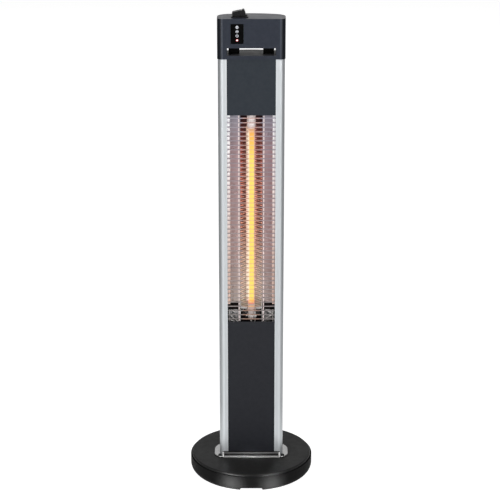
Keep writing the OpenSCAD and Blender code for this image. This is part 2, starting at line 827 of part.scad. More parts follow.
module quartz_tube() {
    color("#e8e2d0") difference() {
        post(0, lamp_y, tube_z0, tube_z1, tube_r, round_fn);
        post(0, lamp_y, tube_z0 - cut, tube_z1 + cut, tube_r - tube_wall, round_fn);
    }
}

module heating_element() {
    core = tube_r - 2 * tube_wall - seat;
    rod = core / 4;
    taper = core;
    color("#ffc83d") translate([0, lamp_y, 0]) rotate_extrude($fn = small_fn)
        polygon([[0, tube_z0], [rod, tube_z0], [rod, glow_bottom - taper], [core, glow_bottom],
                 [core, glow_top], [rod, glow_top + taper], [rod, tube_z1], [0, tube_z1]]);
}

// Ceramic cap round the lamp's lower end, its open face at height z
module lamp_cap(z) {
    edge = cap_r / 6;
    translate([0, lamp_y, z]) rotate_extrude($fn = small_fn)
        polygon([[lead_r + fit, -cap_l], [cap_r - edge, -cap_l], [cap_r, -cap_l + edge], [cap_r, 0],
                 [tube_r + run_fit, 0], [tube_r + run_fit, -tube_in - run_fit],
                 [lead_r + fit, -tube_in - run_fit]]);
}

module lamp_cap_bottom() {
    color("#d8cfc6") lamp_cap(plate_low_z - seat);
}

module lamp_cap_top() {
    color("#d8cfc6") mirror([0, 0, 1]) lamp_cap(-plate_high_z - bracket_t - seat);
}

module lamp_leads() {
    low = terminal_top + terminal[2] / 2;
    high = plate_high_z + 2 * cap_l;
    back = spine_y + spine_t + terminal[1] / 2;
    x = terminal[0] / 4;
    bend = lead_hole_r;
    low_route = [[0, lamp_y, tube_z0 - tube_in], [0, lamp_y, low + 2 * bend], [0, lamp_y + bend, low],
                 [0, back - bend, low], [x / 2, back, low - bend], [x, back, low - 2 * bend],
                 [x, back, terminal_top]];
    high_route = [[0, lamp_y, tube_z1 + tube_in], [0, lamp_y, high - 2 * bend], [0, lamp_y + bend, high],
                  [0, back - bend, high], [-x / 2, back, high - bend], [-x, back, high - 4 * bend],
                  [-x, back, terminal_top]];
    color("#efece4") {
        sweep(low_route, lead_r, lead_sides);
        sweep(high_route, lead_r, lead_sides);
    }
}

module thermal_cutout() {
    back = spine_y + spine_t;
    x = 2 * cutout_r;
    color("#c9c4b8") {
        bar_y(x, cutout_z, back, back + cutout_l, cutout_r);
        block(x - cutout_tab_share * cutout_r, x + cutout_tab_share * cutout_r, back, back + spine_t,
              cutout_z - cutout_r / 2, cutout_z + cutout_r / 2);
    }
}

module terminal_block() {
    back = spine_y + spine_t;
    z = terminal_top - terminal[2] / 2;
    color("#e6e3da") difference() {
        block(-terminal[0] / 2, terminal[0] / 2, back, back + terminal[1],
              terminal_top - terminal[2], terminal_top);
        for (i = [-1 : 1])
            bar_y(i * terminal[0] / 3, z, back + terminal[1] / 2, column_back, terminal[1] / 6);
    }
}

wire_count = floor((window_top - window_bottom - 2 * wire_r) / wire_pitch);
wire_z0 = (window_top + window_bottom - (wire_count - 1) * wire_pitch) / 2;

module guard_grille() {
    tail = wire_pitch / 2;
    z0 = wire_z0 - tail;
    length = (wire_count - 1) * wire_pitch + 2 * tail;
    upright_y = wire_front + wire_r + upright_r - bite / 2;
    color("#c4c2bd") {
        for (i = [0 : wire_count - 1])
            translate([-side_rod_x, wire_front, wire_z0 + i * wire_pitch]) rotate([0, 90, 0])
                cylinder(r = wire_r, h = 2 * side_rod_x, $fn = 8);
        for (s = [-1, 1]) {
            translate([s * upright_x, upright_y, z0]) cylinder(r = upright_r, h = length, $fn = 8);
            translate([s * side_rod_x, wire_front, z0]) cylinder(r = wire_r, h = length, $fn = 8);
        }
    }
}

module cord_gland() {
    wall_in = rear_inner_y(0) - seat;
    rim = column_back + gland_flange_t;
    color("#18181a") translate([0, 0, gland_z]) rotate([-90, 0, 0]) rotate_extrude($fn = small_fn)
        polygon([[gland_bore, wall_in - gland_flange_t], [gland_flange_r, wall_in - gland_flange_t],
                 [gland_flange_r, wall_in], [gland_r, wall_in], [gland_r, column_back + fit],
                 [gland_flange_r, column_back + fit], [gland_flange_r, rim], [gland_r, rim],
                 [gland_bore + gland_tip, column_back + gland_out], [gland_bore, column_back + gland_out]]);
}

// Head
module head_plinth() {
    color("#4a4541") difference() {
        slab(d_points(head_plan, head_wall + fit), column_top, slot_z);
        for (s = [-1, 1]) {
            post(s * post_x, 0, column_top - cut, slot_z + cut, head_screw_r + fit);
            for (y = channel_ys)
                post(s * channel_x, y, column_top - cut, column_top + plinth_t / 2 + fit, channel_bore + fit);
        }
    }
}

module slot_post(s) {
    difference() {
        block(s * post_x - post_w / 2, s * post_x + post_w / 2, -post_d / 2, post_d / 2, slot_z, slot_top);
        post(s * post_x, 0, slot_z - cut, slot_top + cut, head_screw_r + fit);
    }
}

module left_post() {
    color("#121214") slot_post(-1);
}

module right_post() {
    color("#121214") slot_post(1);
}

module liner_end(s) {
    x0 = s * (slot_half + liner_side_t / 2);
    intersection() {
        slab(d_points(head_plan, head_wall + fit), slot_z, slot_top + bite);
        block(x0 - liner_side_t / 2, x0 + liner_side_t / 2, -head_front, head_back, slot_z, slot_top + bite);
    }
}

module handle_liner() {
    corner_x = power_pcb[0] / 2 - mark_r;
    corner_y = power_pcb[1] / 2 - mark_r;
    color("#2b2c30") difference() {
        union() {
            slab(d_points(head_plan, head_wall + fit), slot_top, liner_top);
            for (s = [-1, 1]) {
                liner_end(s);
                block(s * lug_x - lug_w / 2, s * lug_x + lug_w / 2, lug_y - lug_d, lug_y,
                      liner_top - bite, lug_top);
                for (y = [-corner_y, corner_y])
                    post(power_x + s * corner_x, y, liner_top - bite, liner_top + standoff_h, mark_r);
            }
        }
        for (s = [-1, 1]) {
            post(s * post_x, 0, slot_top - cut, liner_top + cut, head_screw_r + fit);
            bar_y(s * lug_x, lug_z, lug_y - lug_screw_l, lug_y + cut, lug_screw_r + run_fit);
        }
    }
}

// Where the liner's rear lugs meet the shell's back wall, and the height of their screws
lug_y = back_y(head_plan, lug_x + lug_w / 2, head_wall + fit);
lug_z = liner_top + lug_h * 2 / 3;
lug_top = liner_top + lug_h;

module head_shell() {
    half_w = display_w / 2 + fit;
    half_h = display_h / 2 + fit;
    neck_x = neck_w / 2 + fit;
    neck_y = neck_d / 2 + fit;
    color("#3a3c44") difference() {
        slab(d_points(head_plan), column_top, head_top);
        slab(d_points(head_plan, head_wall), column_top - cut, head_top - head_wall);
        block(-slot_half, slot_half, -head_front - cut, head_back + cut, slot_z, slot_top);
        block(-display_x - half_w, -display_x + half_w, -head_front - cut, 0,
              display_z - half_h, display_z + half_h);
        block(-switch_x - neck_x, -switch_x + neck_x, -switch_y - neck_y, -switch_y + neck_y,
              head_top - head_wall - cut, head_top + cut);
        for (s = [-1, 1]) bar_y(s * lug_x, lug_z, 0, head_back + cut, lug_screw_r + fit);
    }
}

module head_screws() {
    color("#8a8c90") for (s = [-1, 1]) {
        post(s * post_x, 0, column_top - head_screw_reach, liner_top + bite, head_screw_r);
        post(s * post_x, 0, liner_top, liner_top + head_screw_head_h, head_screw_head_r);
    }
}

module shell_screws() {
    y = back_y(head_plan, lug_x - lug_screw_head_r);
    color("#17181a") for (s = [-1, 1]) {
        bar_y(s * lug_x, lug_z, lug_y - lug_screw_l + seat, y + bite, lug_screw_r);
        bar_y(s * lug_x, lug_z, y, y + lug_screw_head_h, lug_screw_head_r);
    }
}

display_y = -head_front - display_proud;
function mark_z(i) = mark_top - i * mark_pitch;

module display_window() {
    back = display_y + display_t;
    half_h = display_h / 2;
    color("#08080a") difference() {
        block(-display_x - display_w / 2, -display_x + display_w / 2, display_y, back,
              display_z - half_h, display_z + half_h);
        for (i = [0 : 2]) bar_y(-display_x, mark_z(i), display_y - cut, back + cut, mark_r + run_fit);
        bar_y(-display_x, mark_z(3), display_y - cut, back + cut, lens_r + run_fit);
    }
}

module light_guides() {
    color("#f4f4f6") for (i = [0 : 2])
        bar_y(-display_x, mark_z(i), display_y, display_y + display_t + fit, mark_r);
}

module power_lens() {
    color("#ff3b30") bar_y(-display_x, mark_z(3), display_y, display_y + display_t + fit, lens_r);
}

board_y = display_y + display_t + seat;

module indicator_board() {
    half_w = display_w / 2 + board_border;
    half_h = display_h / 2 + board_border;
    color("#1f6b3a") block(-display_x - half_w, -display_x + half_w, board_y, board_y + board_t,
                           display_z - half_h, display_z + half_h);
}

board_z = liner_top + standoff_h;

module power_board() {
    color("#1f6b3a") difference() {
        block(power_x - power_pcb[0] / 2, power_x + power_pcb[0] / 2, -power_pcb[1] / 2, power_pcb[1] / 2,
              board_z, board_z + board_t);
        post(post_x, 0, board_z - cut, board_z + board_t + cut, head_screw_head_r);
    }
}

module power_relays() {
    x0 = power_x - power_pcb[0] / 2 + mark_r;
    z0 = board_z + board_t;
    color("#2456a8") for (y0 = [-relay[1] - relay_gap, relay_gap])
        block(x0, x0 + relay[0], y0, y0 + relay[1], z0, z0 + relay[2]);
}

module board_capacitor() {
    z0 = board_z + board_t;
    color("#2b2b2e")
        post(power_x + power_pcb[0] / 2 - 2 * cap_can_r, power_pcb[1] / 4, z0, z0 + cap_can_h, cap_can_r);
}

// Switch
module switch_bezel() {
    cavity_w = neck_w - 2 * neck_wall;
    cavity_d = neck_d - 2 * neck_wall;
    color("#141416") translate([-switch_x, -switch_y, 0]) difference() {
        union() {
            block(-bezel_w / 2, bezel_w / 2, -bezel_d / 2, bezel_d / 2, head_top, head_top + bezel_t);
            block(-neck_w / 2, neck_w / 2, -neck_d / 2, neck_d / 2, neck_bottom, head_top + bezel_t / 2);
        }
        block(-cavity_w / 2, cavity_w / 2, -cavity_d / 2, cavity_d / 2,
              neck_bottom - cut, head_top + bezel_t + cut);
        bar_y(0, pivot_z, -bezel_d, bezel_d, pin_r + run_fit);
    }
}

module rocker_pin() {
    color("#9a9ca0") translate([-switch_x, -switch_y, 0]) bar_y(0, pivot_z, -neck_d / 2, neck_d / 2, pin_r);
}

// Side view of the rocker about its pin, with a raised ridge at its high end
rocker_foot_share = 0.8;
rocker_round_share = 0.22;
rocker_top_shares = [[1, 0], [1, 0.7], [0.88, 1], [0.76, 1.056], [0.64, 1], [0.5, 0.944], [0.3, 1]];
module rocker_outline() {
    half = rocker_w / 2;
    low = 2 * pin_r + neck_wall;
    foot = half * rocker_foot_share;
    round_r = half * rocker_round_share;
    polygon(concat(
        [[-foot, -low], [foot, -low]],
        [for (p = rocker_top_shares) [p[0] * half, p[1] * rocker_h]],
        arc([-half + round_r, rocker_h - round_r], round_r, 90, 180, 4),
        [[-half, 0]]));
}

module rocker() {
    color("#19191b") translate([-switch_x, -switch_y, pivot_z]) rotate([0, -rocker_tilt, 0])
        translate([0, rocker_d / 2, 0]) rotate([90, 0, 0]) linear_extrude(rocker_d) difference() {
            rocker_outline();
            circle(r = pin_r + run_fit, $fn = small_fn);
        }
}

module switch_body() {
    color("#222326") translate([-switch_x, -switch_y, 0])
        block(-neck_w / 2, neck_w / 2, -neck_d / 2, neck_d / 2, neck_bottom - switch_body_h, neck_bottom);
}

module switch_terminals() {
    z1 = neck_bottom - switch_body_h;
    color("#c9a24a") for (i = [0 : blade_count - 1])
        translate([-switch_x + (i - 1) * neck_w / 3, -switch_y, 0])
            block(-blade[0] / 2, blade[0] / 2, -blade[1] / 2, blade[1] / 2, z1 - blade[2], z1);
}

base_shell();
base_feet();
base_weight();
base_cover();
base_bolts();
tip_guide();
tip_plunger();
tip_spring();
tip_switch();
foot_flange();
flange_screws();
foot_block();
left_rail();
right_rail();
rear_cover();
rear_cover_screws();
rail_screws();
lower_panel();
upper_panel();
chassis_spine();
spine_screws();
reflector();
lamp_bracket_bottom();
lamp_bracket_top();
quartz_tube();
heating_element();
lamp_cap_bottom();
lamp_cap_top();
lamp_leads();
thermal_cutout();
terminal_block();
guard_grille();
cord_gland();
top_block();
head_plinth();
left_post();
right_post();
handle_liner();
head_shell();
head_screws();
shell_screws();
display_window();
light_guides();
power_lens();
indicator_board();
power_board();
power_relays();
board_capacitor();
switch_bezel();
switch_body();
switch_terminals();
rocker();
rocker_pin();
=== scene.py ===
"""Looks of a free-standing infrared patio heater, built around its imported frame."""

import logging
import math
from dataclasses import dataclass
from enum import Enum

import bpy
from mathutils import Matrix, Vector


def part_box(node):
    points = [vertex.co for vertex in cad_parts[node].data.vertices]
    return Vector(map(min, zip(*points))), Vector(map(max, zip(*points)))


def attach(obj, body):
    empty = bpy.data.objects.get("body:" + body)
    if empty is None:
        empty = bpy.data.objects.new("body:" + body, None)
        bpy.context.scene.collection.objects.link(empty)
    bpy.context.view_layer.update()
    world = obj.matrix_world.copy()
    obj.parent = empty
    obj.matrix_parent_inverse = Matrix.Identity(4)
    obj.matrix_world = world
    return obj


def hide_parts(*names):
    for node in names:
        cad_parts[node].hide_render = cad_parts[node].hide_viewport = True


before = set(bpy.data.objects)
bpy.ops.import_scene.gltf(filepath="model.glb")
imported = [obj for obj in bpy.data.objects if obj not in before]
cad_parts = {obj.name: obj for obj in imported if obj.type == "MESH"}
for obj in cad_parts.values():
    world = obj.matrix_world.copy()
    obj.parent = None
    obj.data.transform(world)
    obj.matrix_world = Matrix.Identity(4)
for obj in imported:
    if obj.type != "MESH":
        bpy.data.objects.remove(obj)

MM = 0.001
FULL_TURN = 2 * math.pi
SMOOTH_ANGLE = math.radians(32)
BEVEL_ANGLE = math.radians(38)
FLAT_ANGLE = math.radians(0.4)
WELD_GAP = 0.002 * MM
CAD_WELD_GAP = 0.01 * MM
WIDE_ROUNDING = 0.55 * MM
NOISE_SPAN = (0.3, 0.7)
TONE_SPAN = (0.35, 0.65)
SHEEN_SHARE = 0.37
LOG = logging.getLogger("patio_heater")

Point = tuple[float, float, float]
Flat = tuple[float, float]
Colour = tuple[float, float, float]
Tone = float | Colour
Piece = bpy.types.Object
Socket = bpy.types.NodeSocket
Stops = tuple[tuple[float, Tone], ...]

PLAIN: Stops = ((0.0, 1.0), (1.0, 1.0))
DARK: Stops = ((0.0, 0.0), (1.0, 0.0))
# Where up the height the painted lamp light beside the lamp shows.
BESIDE_LAMP: Stops = ((0.0, 0.0), (0.030, 0.0), (0.034, (0.8, 0.5, 0.5)), (0.06, 1.0), (0.86, 1.0),
                      (0.91, (0.9, 0.7, 0.6)), (0.914, 0.0))


class Body(Enum):
    """The rigid bodies that new pieces ride on."""

    TOWER = "tower"
    ROCKER = "rocker"


class Side(Enum):
    """Left and right of the column, as signs along X."""

    LEFT = -1
    RIGHT = 1


class Plane(Enum):
    """The plane that a flat outline is drawn in, as its two axes."""

    PLAN = (0, 1)
    PROFILE = (1, 2)
    SECTION = (0, 2)


# Hand tools


def clear_hands() -> None:
    """Leaves edit mode and deselects everything."""
    active = bpy.context.view_layer.objects.active
    if active is not None and active.mode != "OBJECT":
        bpy.ops.object.mode_set(mode="OBJECT")
    bpy.ops.object.select_all(action="DESELECT")


def take(piece: Piece) -> None:
    """Makes one piece the only selected and active one.

    Args:
        piece: the piece.
    """
    clear_hands()
    piece.select_set(True)
    bpy.context.view_layer.objects.active = piece


def settle(piece: Piece) -> Piece:
    """Moves a piece's place into its mesh.

    Args:
        piece: the piece.

    Returns:
        The same piece.
    """
    take(piece)
    bpy.ops.object.transform_apply(location=True, rotation=True, scale=True)
    return piece


def edit_all(piece: Piece) -> None:
    """Opens a piece in edit mode with all of it selected.

    Args:
        piece: the piece.
    """
    take(piece)
    bpy.ops.object.mode_set(mode="EDIT")
    bpy.ops.mesh.select_mode(type="VERT")
    bpy.ops.mesh.select_all(action="SELECT")


def close_edit() -> None:
    """Merges doubles, turns all faces outwards and leaves edit mode."""
    bpy.ops.mesh.select_all(action="SELECT")
    bpy.ops.mesh.remove_doubles(threshold=WELD_GAP)
    bpy.ops.mesh.normals_make_consistent(inside=False)
    bpy.ops.object.mode_set(mode="OBJECT")


def shape(piece: Piece, kind: str, **values: object) -> Piece:
    """Adds a modifier to a piece and applies it.

    Args:
        piece: the piece.
        kind: the modifier's kind.
        values: its settings by name.

    Returns:
        The same piece.
    """
    take(piece)
    step = piece.modifiers.new(kind.lower(), kind)
    for name, value in values.items():
        setattr(step, name, value)
    bpy.ops.object.modifier_apply(modifier=step.name)
    return piece


def arc(centre: Flat, radius: float, start: float, end: float, steps: int) -> list[Flat]:
    """Points along an arc between two angles in degrees, in a number of straight steps."""
    angles = [math.radians(start + (end - start) * i / steps) for i in range(steps + 1)]
    return [(centre[0] + radius * math.cos(a), centre[1] + radius * math.sin(a)) for a in angles]


def place(points: list[Flat], plane: Plane, depth: float) -> list[Vector]:
    """Puts the points of a flat outline in space, at a depth on its plane's third axis."""
    axes = (*plane.value, 3 - sum(plane.value))
    return [Vector([value for _, value in sorted(zip(axes, (*point, depth)))]) for point in points]


def trace(points: list[Vector]) -> Piece:
    """Draws a line by pulling one point from corner to corner, and stays in edit mode.

    Args:
        points: the corners.

    Returns:
        The new piece, its line selected.
    """
    clear_hands()
    bpy.ops.mesh.primitive_plane_add(size=MM, location=points[0])
    piece = bpy.context.object
    edit_all(piece)
    bpy.ops.mesh.merge(type="CENTER")
    for here, there in zip(points, points[1:]):
        bpy.ops.mesh.extrude_vertices_move(TRANSFORM_OT_translate={"value": tuple(there - here)})
    bpy.ops.mesh.select_all(action="SELECT")
    return piece


def prism(outline: list[Flat], plane: Plane, low: float, high: float) -> Piece:
    """Draws a closed outline, fills it and pulls it along the third axis.

    Args:
        outline: the outline's corners.
        plane: the plane that it lies in.
        low: where the solid starts on the third axis.
        high: where it ends.

    Returns:
        The solid.
    """
    piece = trace(place(outline, plane, low))
    bpy.ops.mesh.edge_face_add()
    pull = place([(0.0, 0.0)], plane, high - low)[0]
    bpy.ops.mesh.extrude_region_move(TRANSFORM_OT_translate={"value": tuple(pull)})
    close_edit()
    return settle(piece)


def lathe(profile: list[Flat], steps: int, centre: Flat = (0.0, 0.0)) -> Piece:
    """Turns a closed profile round an upright axis.

    Args:
        profile: the profile's corners, each a radius and a height.
        steps: the number of faces round the axis.
        centre: the axis in plan.

    Returns:
        The turned piece.
    """
    piece = trace([Vector((centre[0] + r, centre[1], z)) for r, z in profile + profile[:1]])
    bpy.ops.mesh.spin(steps=steps, angle=FULL_TURN, center=(*centre, 0.0), axis=(0, 0, 1))
    close_edit()
    return settle(piece)


def sheet_metal(path: list[Flat], low: float, high: float, gauge: float) -> Piece:
    """Pulls a line in plan upwards and gives it the thickness of sheet metal.

    Args:
        path: the sheet's front line in plan.
        low: the height of its lower edge.
        high: the height of its upper edge.
        gauge: its thickness, towards the back of the line.

    Returns:
        The bent sheet.
    """
    piece = trace(place(path, Plane.PLAN, low))
    bpy.ops.mesh.extrude_region_move(TRANSFORM_OT_translate={"value": (0.0, 0.0, high - low)})
    shape(settle(piece), "SOLIDIFY", thickness=gauge, offset=1.0, use_even_offset=True)
    edit_all(piece)
    close_edit()
    return piece


def bar(start: Point, end: Point, radius: float, sides: int) -> Piece:
    """A round bar between two points.

    Args:
        start: the middle of one end.
        end: the middle of the other.
        radius: its radius.
        sides: the number of faces round it.

    Returns:
        The bar.
    """
    clear_hands()
    first, last = Vector(start), Vector(end)
    run = last - first
    bpy.ops.mesh.primitive_cylinder_add(
        vertices=sides, radius=radius, depth=run.length, location=(first + last) / 2,
        rotation=run.to_track_quat("Z", "Y").to_euler())
    return settle(bpy.context.object)


def post(spot: Flat, low: float, high: float, radius: float, sides: int) -> Piece:
    """An upright bar over a spot in plan, from one height to another."""
    return bar((*spot, low), (*spot, high), radius, sides)


def block(low: Point, high: Point) -> Piece:
    """A plain block between two corners.

    Args:
        low: the lowest corner.
        high: the highest corner.

    Returns:
        The block.
    """
    clear_hands()
    first, last = Vector(low), Vector(high)
    bpy.ops.mesh.primitive_cube_add(size=1.0, location=(first + last) / 2)
    bpy.context.object.scale = last - first
    return settle(bpy.context.object)


def weld(parts: list[Piece]) -> Piece:
    """Joins parts into the first of them.

    Args:
        parts: the parts.

    Returns:
        The joined piece.
    """
    take(parts[0])
    for part in parts[1:]:
        part.select_set(True)
    bpy.ops.object.join()
    return parts[0]


def repeat(piece: Piece, count: int, step: Point) -> Piece:
    """Copies a piece's mesh along a line, count times in all."""
    return shape(piece, "ARRAY", count=count, use_relative_offset=False, use_constant_offset=True,
                 constant_offset_displace=step)


def cut(piece: Piece, cutter: Piece) -> Piece:
    """Takes a cutter's volume out of a piece, and removes the cutter.

    Args:
        piece: the piece.
        cutter: the solid to take out.

    Returns:
        The cut piece.
    """
    shape(piece, "BOOLEAN", operation="DIFFERENCE", solver="EXACT", object=cutter)
    bpy.data.objects.remove(cutter)
    return piece


def smooth(piece: Piece) -> Piece:
    """Shades a piece smooth up to an angle, with flat faces kept flat.

    Args:
        piece: the piece.

    Returns:
        The same piece.
    """
    take(piece)
    bpy.ops.object.shade_smooth_by_angle(angle=SMOOTH_ANGLE)
    return shape(piece, "WEIGHTED_NORMAL", keep_sharp=True)


def soften(piece: Piece, width: float) -> Piece:
    """Rounds a piece's edges to a width, with one face more across a wide rounding, and shades it smooth."""
    return smooth(shape(piece, "BEVEL", width=width, segments=3 if width > WIDE_ROUNDING else 2,
                        limit_method="ANGLE", angle_limit=BEVEL_ANGLE, miter_outer="MITER_ARC"))


def rounded_copy(node: str, width: float) -> Piece:
    """Copies a CAD solid, merges its loose triangles and rounds its edges.

    Args:
        node: the CAD node.
        width: the width of the rounding.

    Returns:
        The copy.
    """
    piece = bpy.data.objects.new(f"{node}_copy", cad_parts[node].data.copy())
    bpy.context.scene.collection.objects.link(piece)
    edit_all(piece)
    bpy.ops.mesh.remove_doubles(threshold=CAD_WELD_GAP)
    bpy.ops.mesh.dissolve_limited(angle_limit=FLAT_ANGLE)
    bpy.ops.object.mode_set(mode="OBJECT")
    return soften(piece, width)


# Finishes


def colour(tone: Tone) -> Colour:
    """A colour as it is, and a lone number as a grey."""
    return tone if isinstance(tone, tuple) else (tone, tone, tone)


def tune(node: bpy.types.Node, values: dict[str, object]) -> None:
    """Sets a node's sockets by name, with _ for a space."""
    for name, value in values.items():
        node.inputs[name.replace("_", " ")].default_value = value


class Board:
    """The node board of one material, with short ways to add and join nodes."""

    def __init__(self, name: str) -> None:
        """Starts a material with its Principled shader.

        Args:
            name: the material's name.
        """
        self.material = bpy.data.materials.new(name)
        self.material.use_nodes = True
        self.tree = self.material.node_tree
        self.shader = self.tree.nodes["Principled BSDF"]
        self.place = self.node("TexCoord").outputs["Object"]

    def node(self, kind: str, **values: object) -> bpy.types.Node:
        """Adds a shader node.

        Args:
            kind: its kind.
            values: its sockets by name, with _ for a space.

        Returns:
            The node.
        """
        made = self.tree.nodes.new(f"ShaderNode{kind}")
        tune(made, values)
        return made

    def join(self, source: Socket, target: Socket) -> None:
        """Links two sockets."""
        self.tree.links.new(source, target)

    def feed(self, name: str, source: Socket) -> None:
        """Links a socket to one of the shader's own."""
        self.join(source, self.shader.inputs[name])

    def set(self, **values: object) -> None:
        """Sets the shader's own sockets."""
        tune(self.shader, values)

    def noise(self, scale: float, stretch: Point = (1, 1, 1), detail: float = 3.0) -> Socket:
        """A noise pattern over the piece.

        Args:
            scale: features per metre.
            stretch: how much the pattern is squeezed on each axis.
            detail: the number of finer layers.

        Returns:
            The pattern's grey value.
        """
        turn = self.node("Mapping", Scale=stretch)
        self.join(self.place, turn.inputs["Vector"])
        pattern = self.node("TexNoise", Scale=scale, Detail=detail)
        self.join(turn.outputs["Vector"], pattern.inputs["Vector"])
        return pattern.outputs["Fac"]

    def ramp(self, value: Socket, stops: Stops) -> Socket:
        """Turns a value into colours.

        Args:
            value: the grey value.
            stops: each a place from 0 to 1 and its tone.

        Returns:
            The colour.
        """
        ramp = self.node("ValToRGB")
        elements = ramp.color_ramp.elements
        while len(elements) < len(stops):
            elements.new(1.0)
        for element, (position, tone) in zip(elements, stops):
            element.position = position
            element.color = (*colour(tone), 1.0)
        self.join(value, ramp.inputs["Fac"])
        return ramp.outputs["Color"]

    def spread(self, value: Socket, source: Flat, target: Flat = (0.0, 1.0)) -> Socket:
        """Maps one range of a value to another, without going past a target of up to 1.

        Args:
            value: the value.
            source: its range.
            target: the new range.

        Returns:
            The mapped value.
        """
        mapped = self.node("MapRange", From_Min=source[0], From_Max=source[1],
                           To_Min=target[0], To_Max=target[1])
        mapped.clamp = target[1] <= 1.0
        self.join(value, mapped.inputs["Value"])
        return mapped.outputs["Result"]

    def part(self, vector: Socket, axis: str) -> Socket:
        """Takes one axis out of a vector.

        Args:
            vector: the vector.
            axis: the axis.

        Returns:
            Its value.
        """
        split = self.node("SeparateXYZ")
        self.join(vector, split.inputs["Vector"])
        return split.outputs[axis]

    def share(self, axis: str, low: float, high: float) -> Socket:
        """The way along an axis of the row frame, from 0 at low to 1 at high."""
        return self.spread(self.part(self.place, axis), (low, high))

    def blend(self, kind: str, first: Socket, second: Socket, amount: Socket | None = None) -> Socket:
        """Mixes two colours.

        Args:
            kind: the way that they mix.
            first: the first colour.
            second: the second colour.
            amount: how much of the mix shows, all of it without one.

        Returns:
            The mixed colour.
        """
        mixer = self.node("Mix", Factor=1.0)
        mixer.data_type = "RGBA"
        mixer.blend_type = kind
        if amount is not None:
            self.join(amount, mixer.inputs["Factor"])
        self.join(first, mixer.inputs[6])
        self.join(second, mixer.inputs[7])
        return mixer.outputs[2]

    def product(self, first: Socket, *others: Socket) -> Socket:
        """Multiplies colours in turn.

        Args:
            first: the first colour.
            others: the colours to multiply it with.

        Returns:
            The product.
        """
        for other in others:
            first = self.blend("MULTIPLY", first, other)
        return first

    def maths(self, operation: str, *values: Socket) -> Socket:
        """Works out one operation.

        Args:
            operation: its kind.
            values: the one or two values it works on.

        Returns:
            The result.
        """
        step = self.node("Math")
        step.operation = operation
        for value, target in zip(values, step.inputs):
            self.join(value, target)
        return step.outputs[0]

    def waves(self, axis: str, pitch: float, sway: float) -> Socket:
        """Even waves along one axis, a little out of step from place to place.

        Args:
            axis: the axis they follow.
            pitch: the distance from crest to crest.
            sway: how far a noise shifts them, in radians.

        Returns:
            A value from 0 to 1.
        """
        turn = self.spread(self.part(self.place, axis), (0.0, pitch), (0.0, FULL_TURN))
        shift = self.spread(self.noise(1.0, (0.5, 1.0, 12.0), 1.0), NOISE_SPAN, (0.0, sway))
        return self.spread(self.maths("SINE", self.maths("ADD", turn, shift)), (-1.0, 1.0))

    def relief(self, value: Socket, strength: float) -> None:
        """Raises the surface with a pattern, by up to a tenth of a millimetre.

        Args:
            value: the pattern.
            strength: how much of it shows.
        """
        bump = self.node("Bump", Strength=strength, Distance=0.1 * MM)
        self.join(value, bump.inputs["Height"])
        self.feed("Normal", bump.outputs["Normal"])


@dataclass(frozen=True)
class Finish:
    """A surface of two close tones with uneven gloss and a fine relief."""

    name: str
    slot: str
    tone: Tone
    second: Tone
    gloss: Flat
    grain: float
    relief: float
    relief_grain: float
    metal: float = 0.0
    stretch: Point = (1.0, 1.0, 1.0)
    coat: float = 0.0
    shine: float = 0.5
    layers: float = 2.0

    @property
    def label(self) -> str:
        """The material's name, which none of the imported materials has."""
        return f"{self.name}_finish"

    def material(self) -> bpy.types.Material:
        """The finish's material, which is made once.

        Returns:
            The material.
        """
        made = bpy.data.materials.get(self.label)
        if made is None:
            board = Board(self.label)
            self.paint(board)
            made = board.material
        return made

    def paint(self, board: Board) -> None:
        """Joins the finish's nodes on a new board."""
        board.feed("Base Color", self.tones(board))
        self.surface(board)

    def tones(self, board: Board, span: Flat = TONE_SPAN) -> Socket:
        """The two tones, mixed over a span of the grain's noise."""
        return board.ramp(board.noise(self.grain, self.stretch), ((span[0], self.tone), (span[1], self.second)))

    def surface(self, board: Board, sheen: Socket | None = None) -> None:
        """Sets the gloss, the relief, the metal, the coat and the shine.

        Args:
            board: the material's board.
            sheen: the pattern that the gloss follows, if not the usual one.
        """
        if sheen is None:
            sheen = board.noise(self.grain * SHEEN_SHARE, self.stretch, self.layers)
        board.feed("Roughness", board.spread(sheen, NOISE_SPAN, self.gloss))
        board.relief(board.noise(self.relief_grain, self.stretch, self.layers), self.relief)
        board.set(Metallic=self.metal, Coat_Weight=self.coat, Specular_IOR_Level=self.shine)


@dataclass(frozen=True)
class PaintedLightSheet(Finish):
    """A finish with painted light: its tone and glow change with the height and from side to side, painting
    shade, highlights, reflections and the lamp's light on it.
    """

    low: float = 0.40
    high: float = 0.87
    reach: float = 30 * MM
    # tints and across paint light and shade up the height and from side to side; glow, flare and lit paint the
    # lamp's light as a glow, though the sheet is no lamp; the wave bands paint the wires' reflections and
    # shadows.
    tints: Stops = PLAIN
    across: Stops = PLAIN
    glow: Stops = ()
    flare: Stops = ()
    lit: Stops = PLAIN
    painted_wire_bands: Stops = ()
    stripe_pitch: float = 5.1 * MM
    stripe_sway: float = 5.0
    sheen_share: float = 0.4

    def paint(self, board: Board) -> None:
        """Joins the painted tints, the painted bands of the wires' reflections and shadows, and the painted glow
        on a new board.

        Args:
            board: the new board.
        """
        rise, aside = board.share("Z", self.low, self.high), board.share("X", -self.reach, self.reach)
        streak = self.tones(board, NOISE_SPAN)
        # Painted light and shade by height and from side to side, times the tone noise.
        layers = [board.ramp(rise, self.tints), board.ramp(aside, self.across)]
        if self.painted_wire_bands:
            layers.append(board.ramp(board.waves("Z", self.stripe_pitch, self.stripe_sway), self.painted_wire_bands))
        board.feed("Base Color", board.product(*layers, streak))
        # Painted glow: the sheet shows the lamp's light as its own, though it is no lamp.
        if self.glow:
            flare = board.product(board.ramp(aside, self.flare), board.ramp(rise, self.lit))
            light = board.blend("ADD", board.ramp(rise, self.glow), flare)
            board.feed("Emission Color", board.product(light, streak))
            board.set(Emission_Strength=1.0)
        self.surface(board, board.noise(self.grain * self.sheen_share))


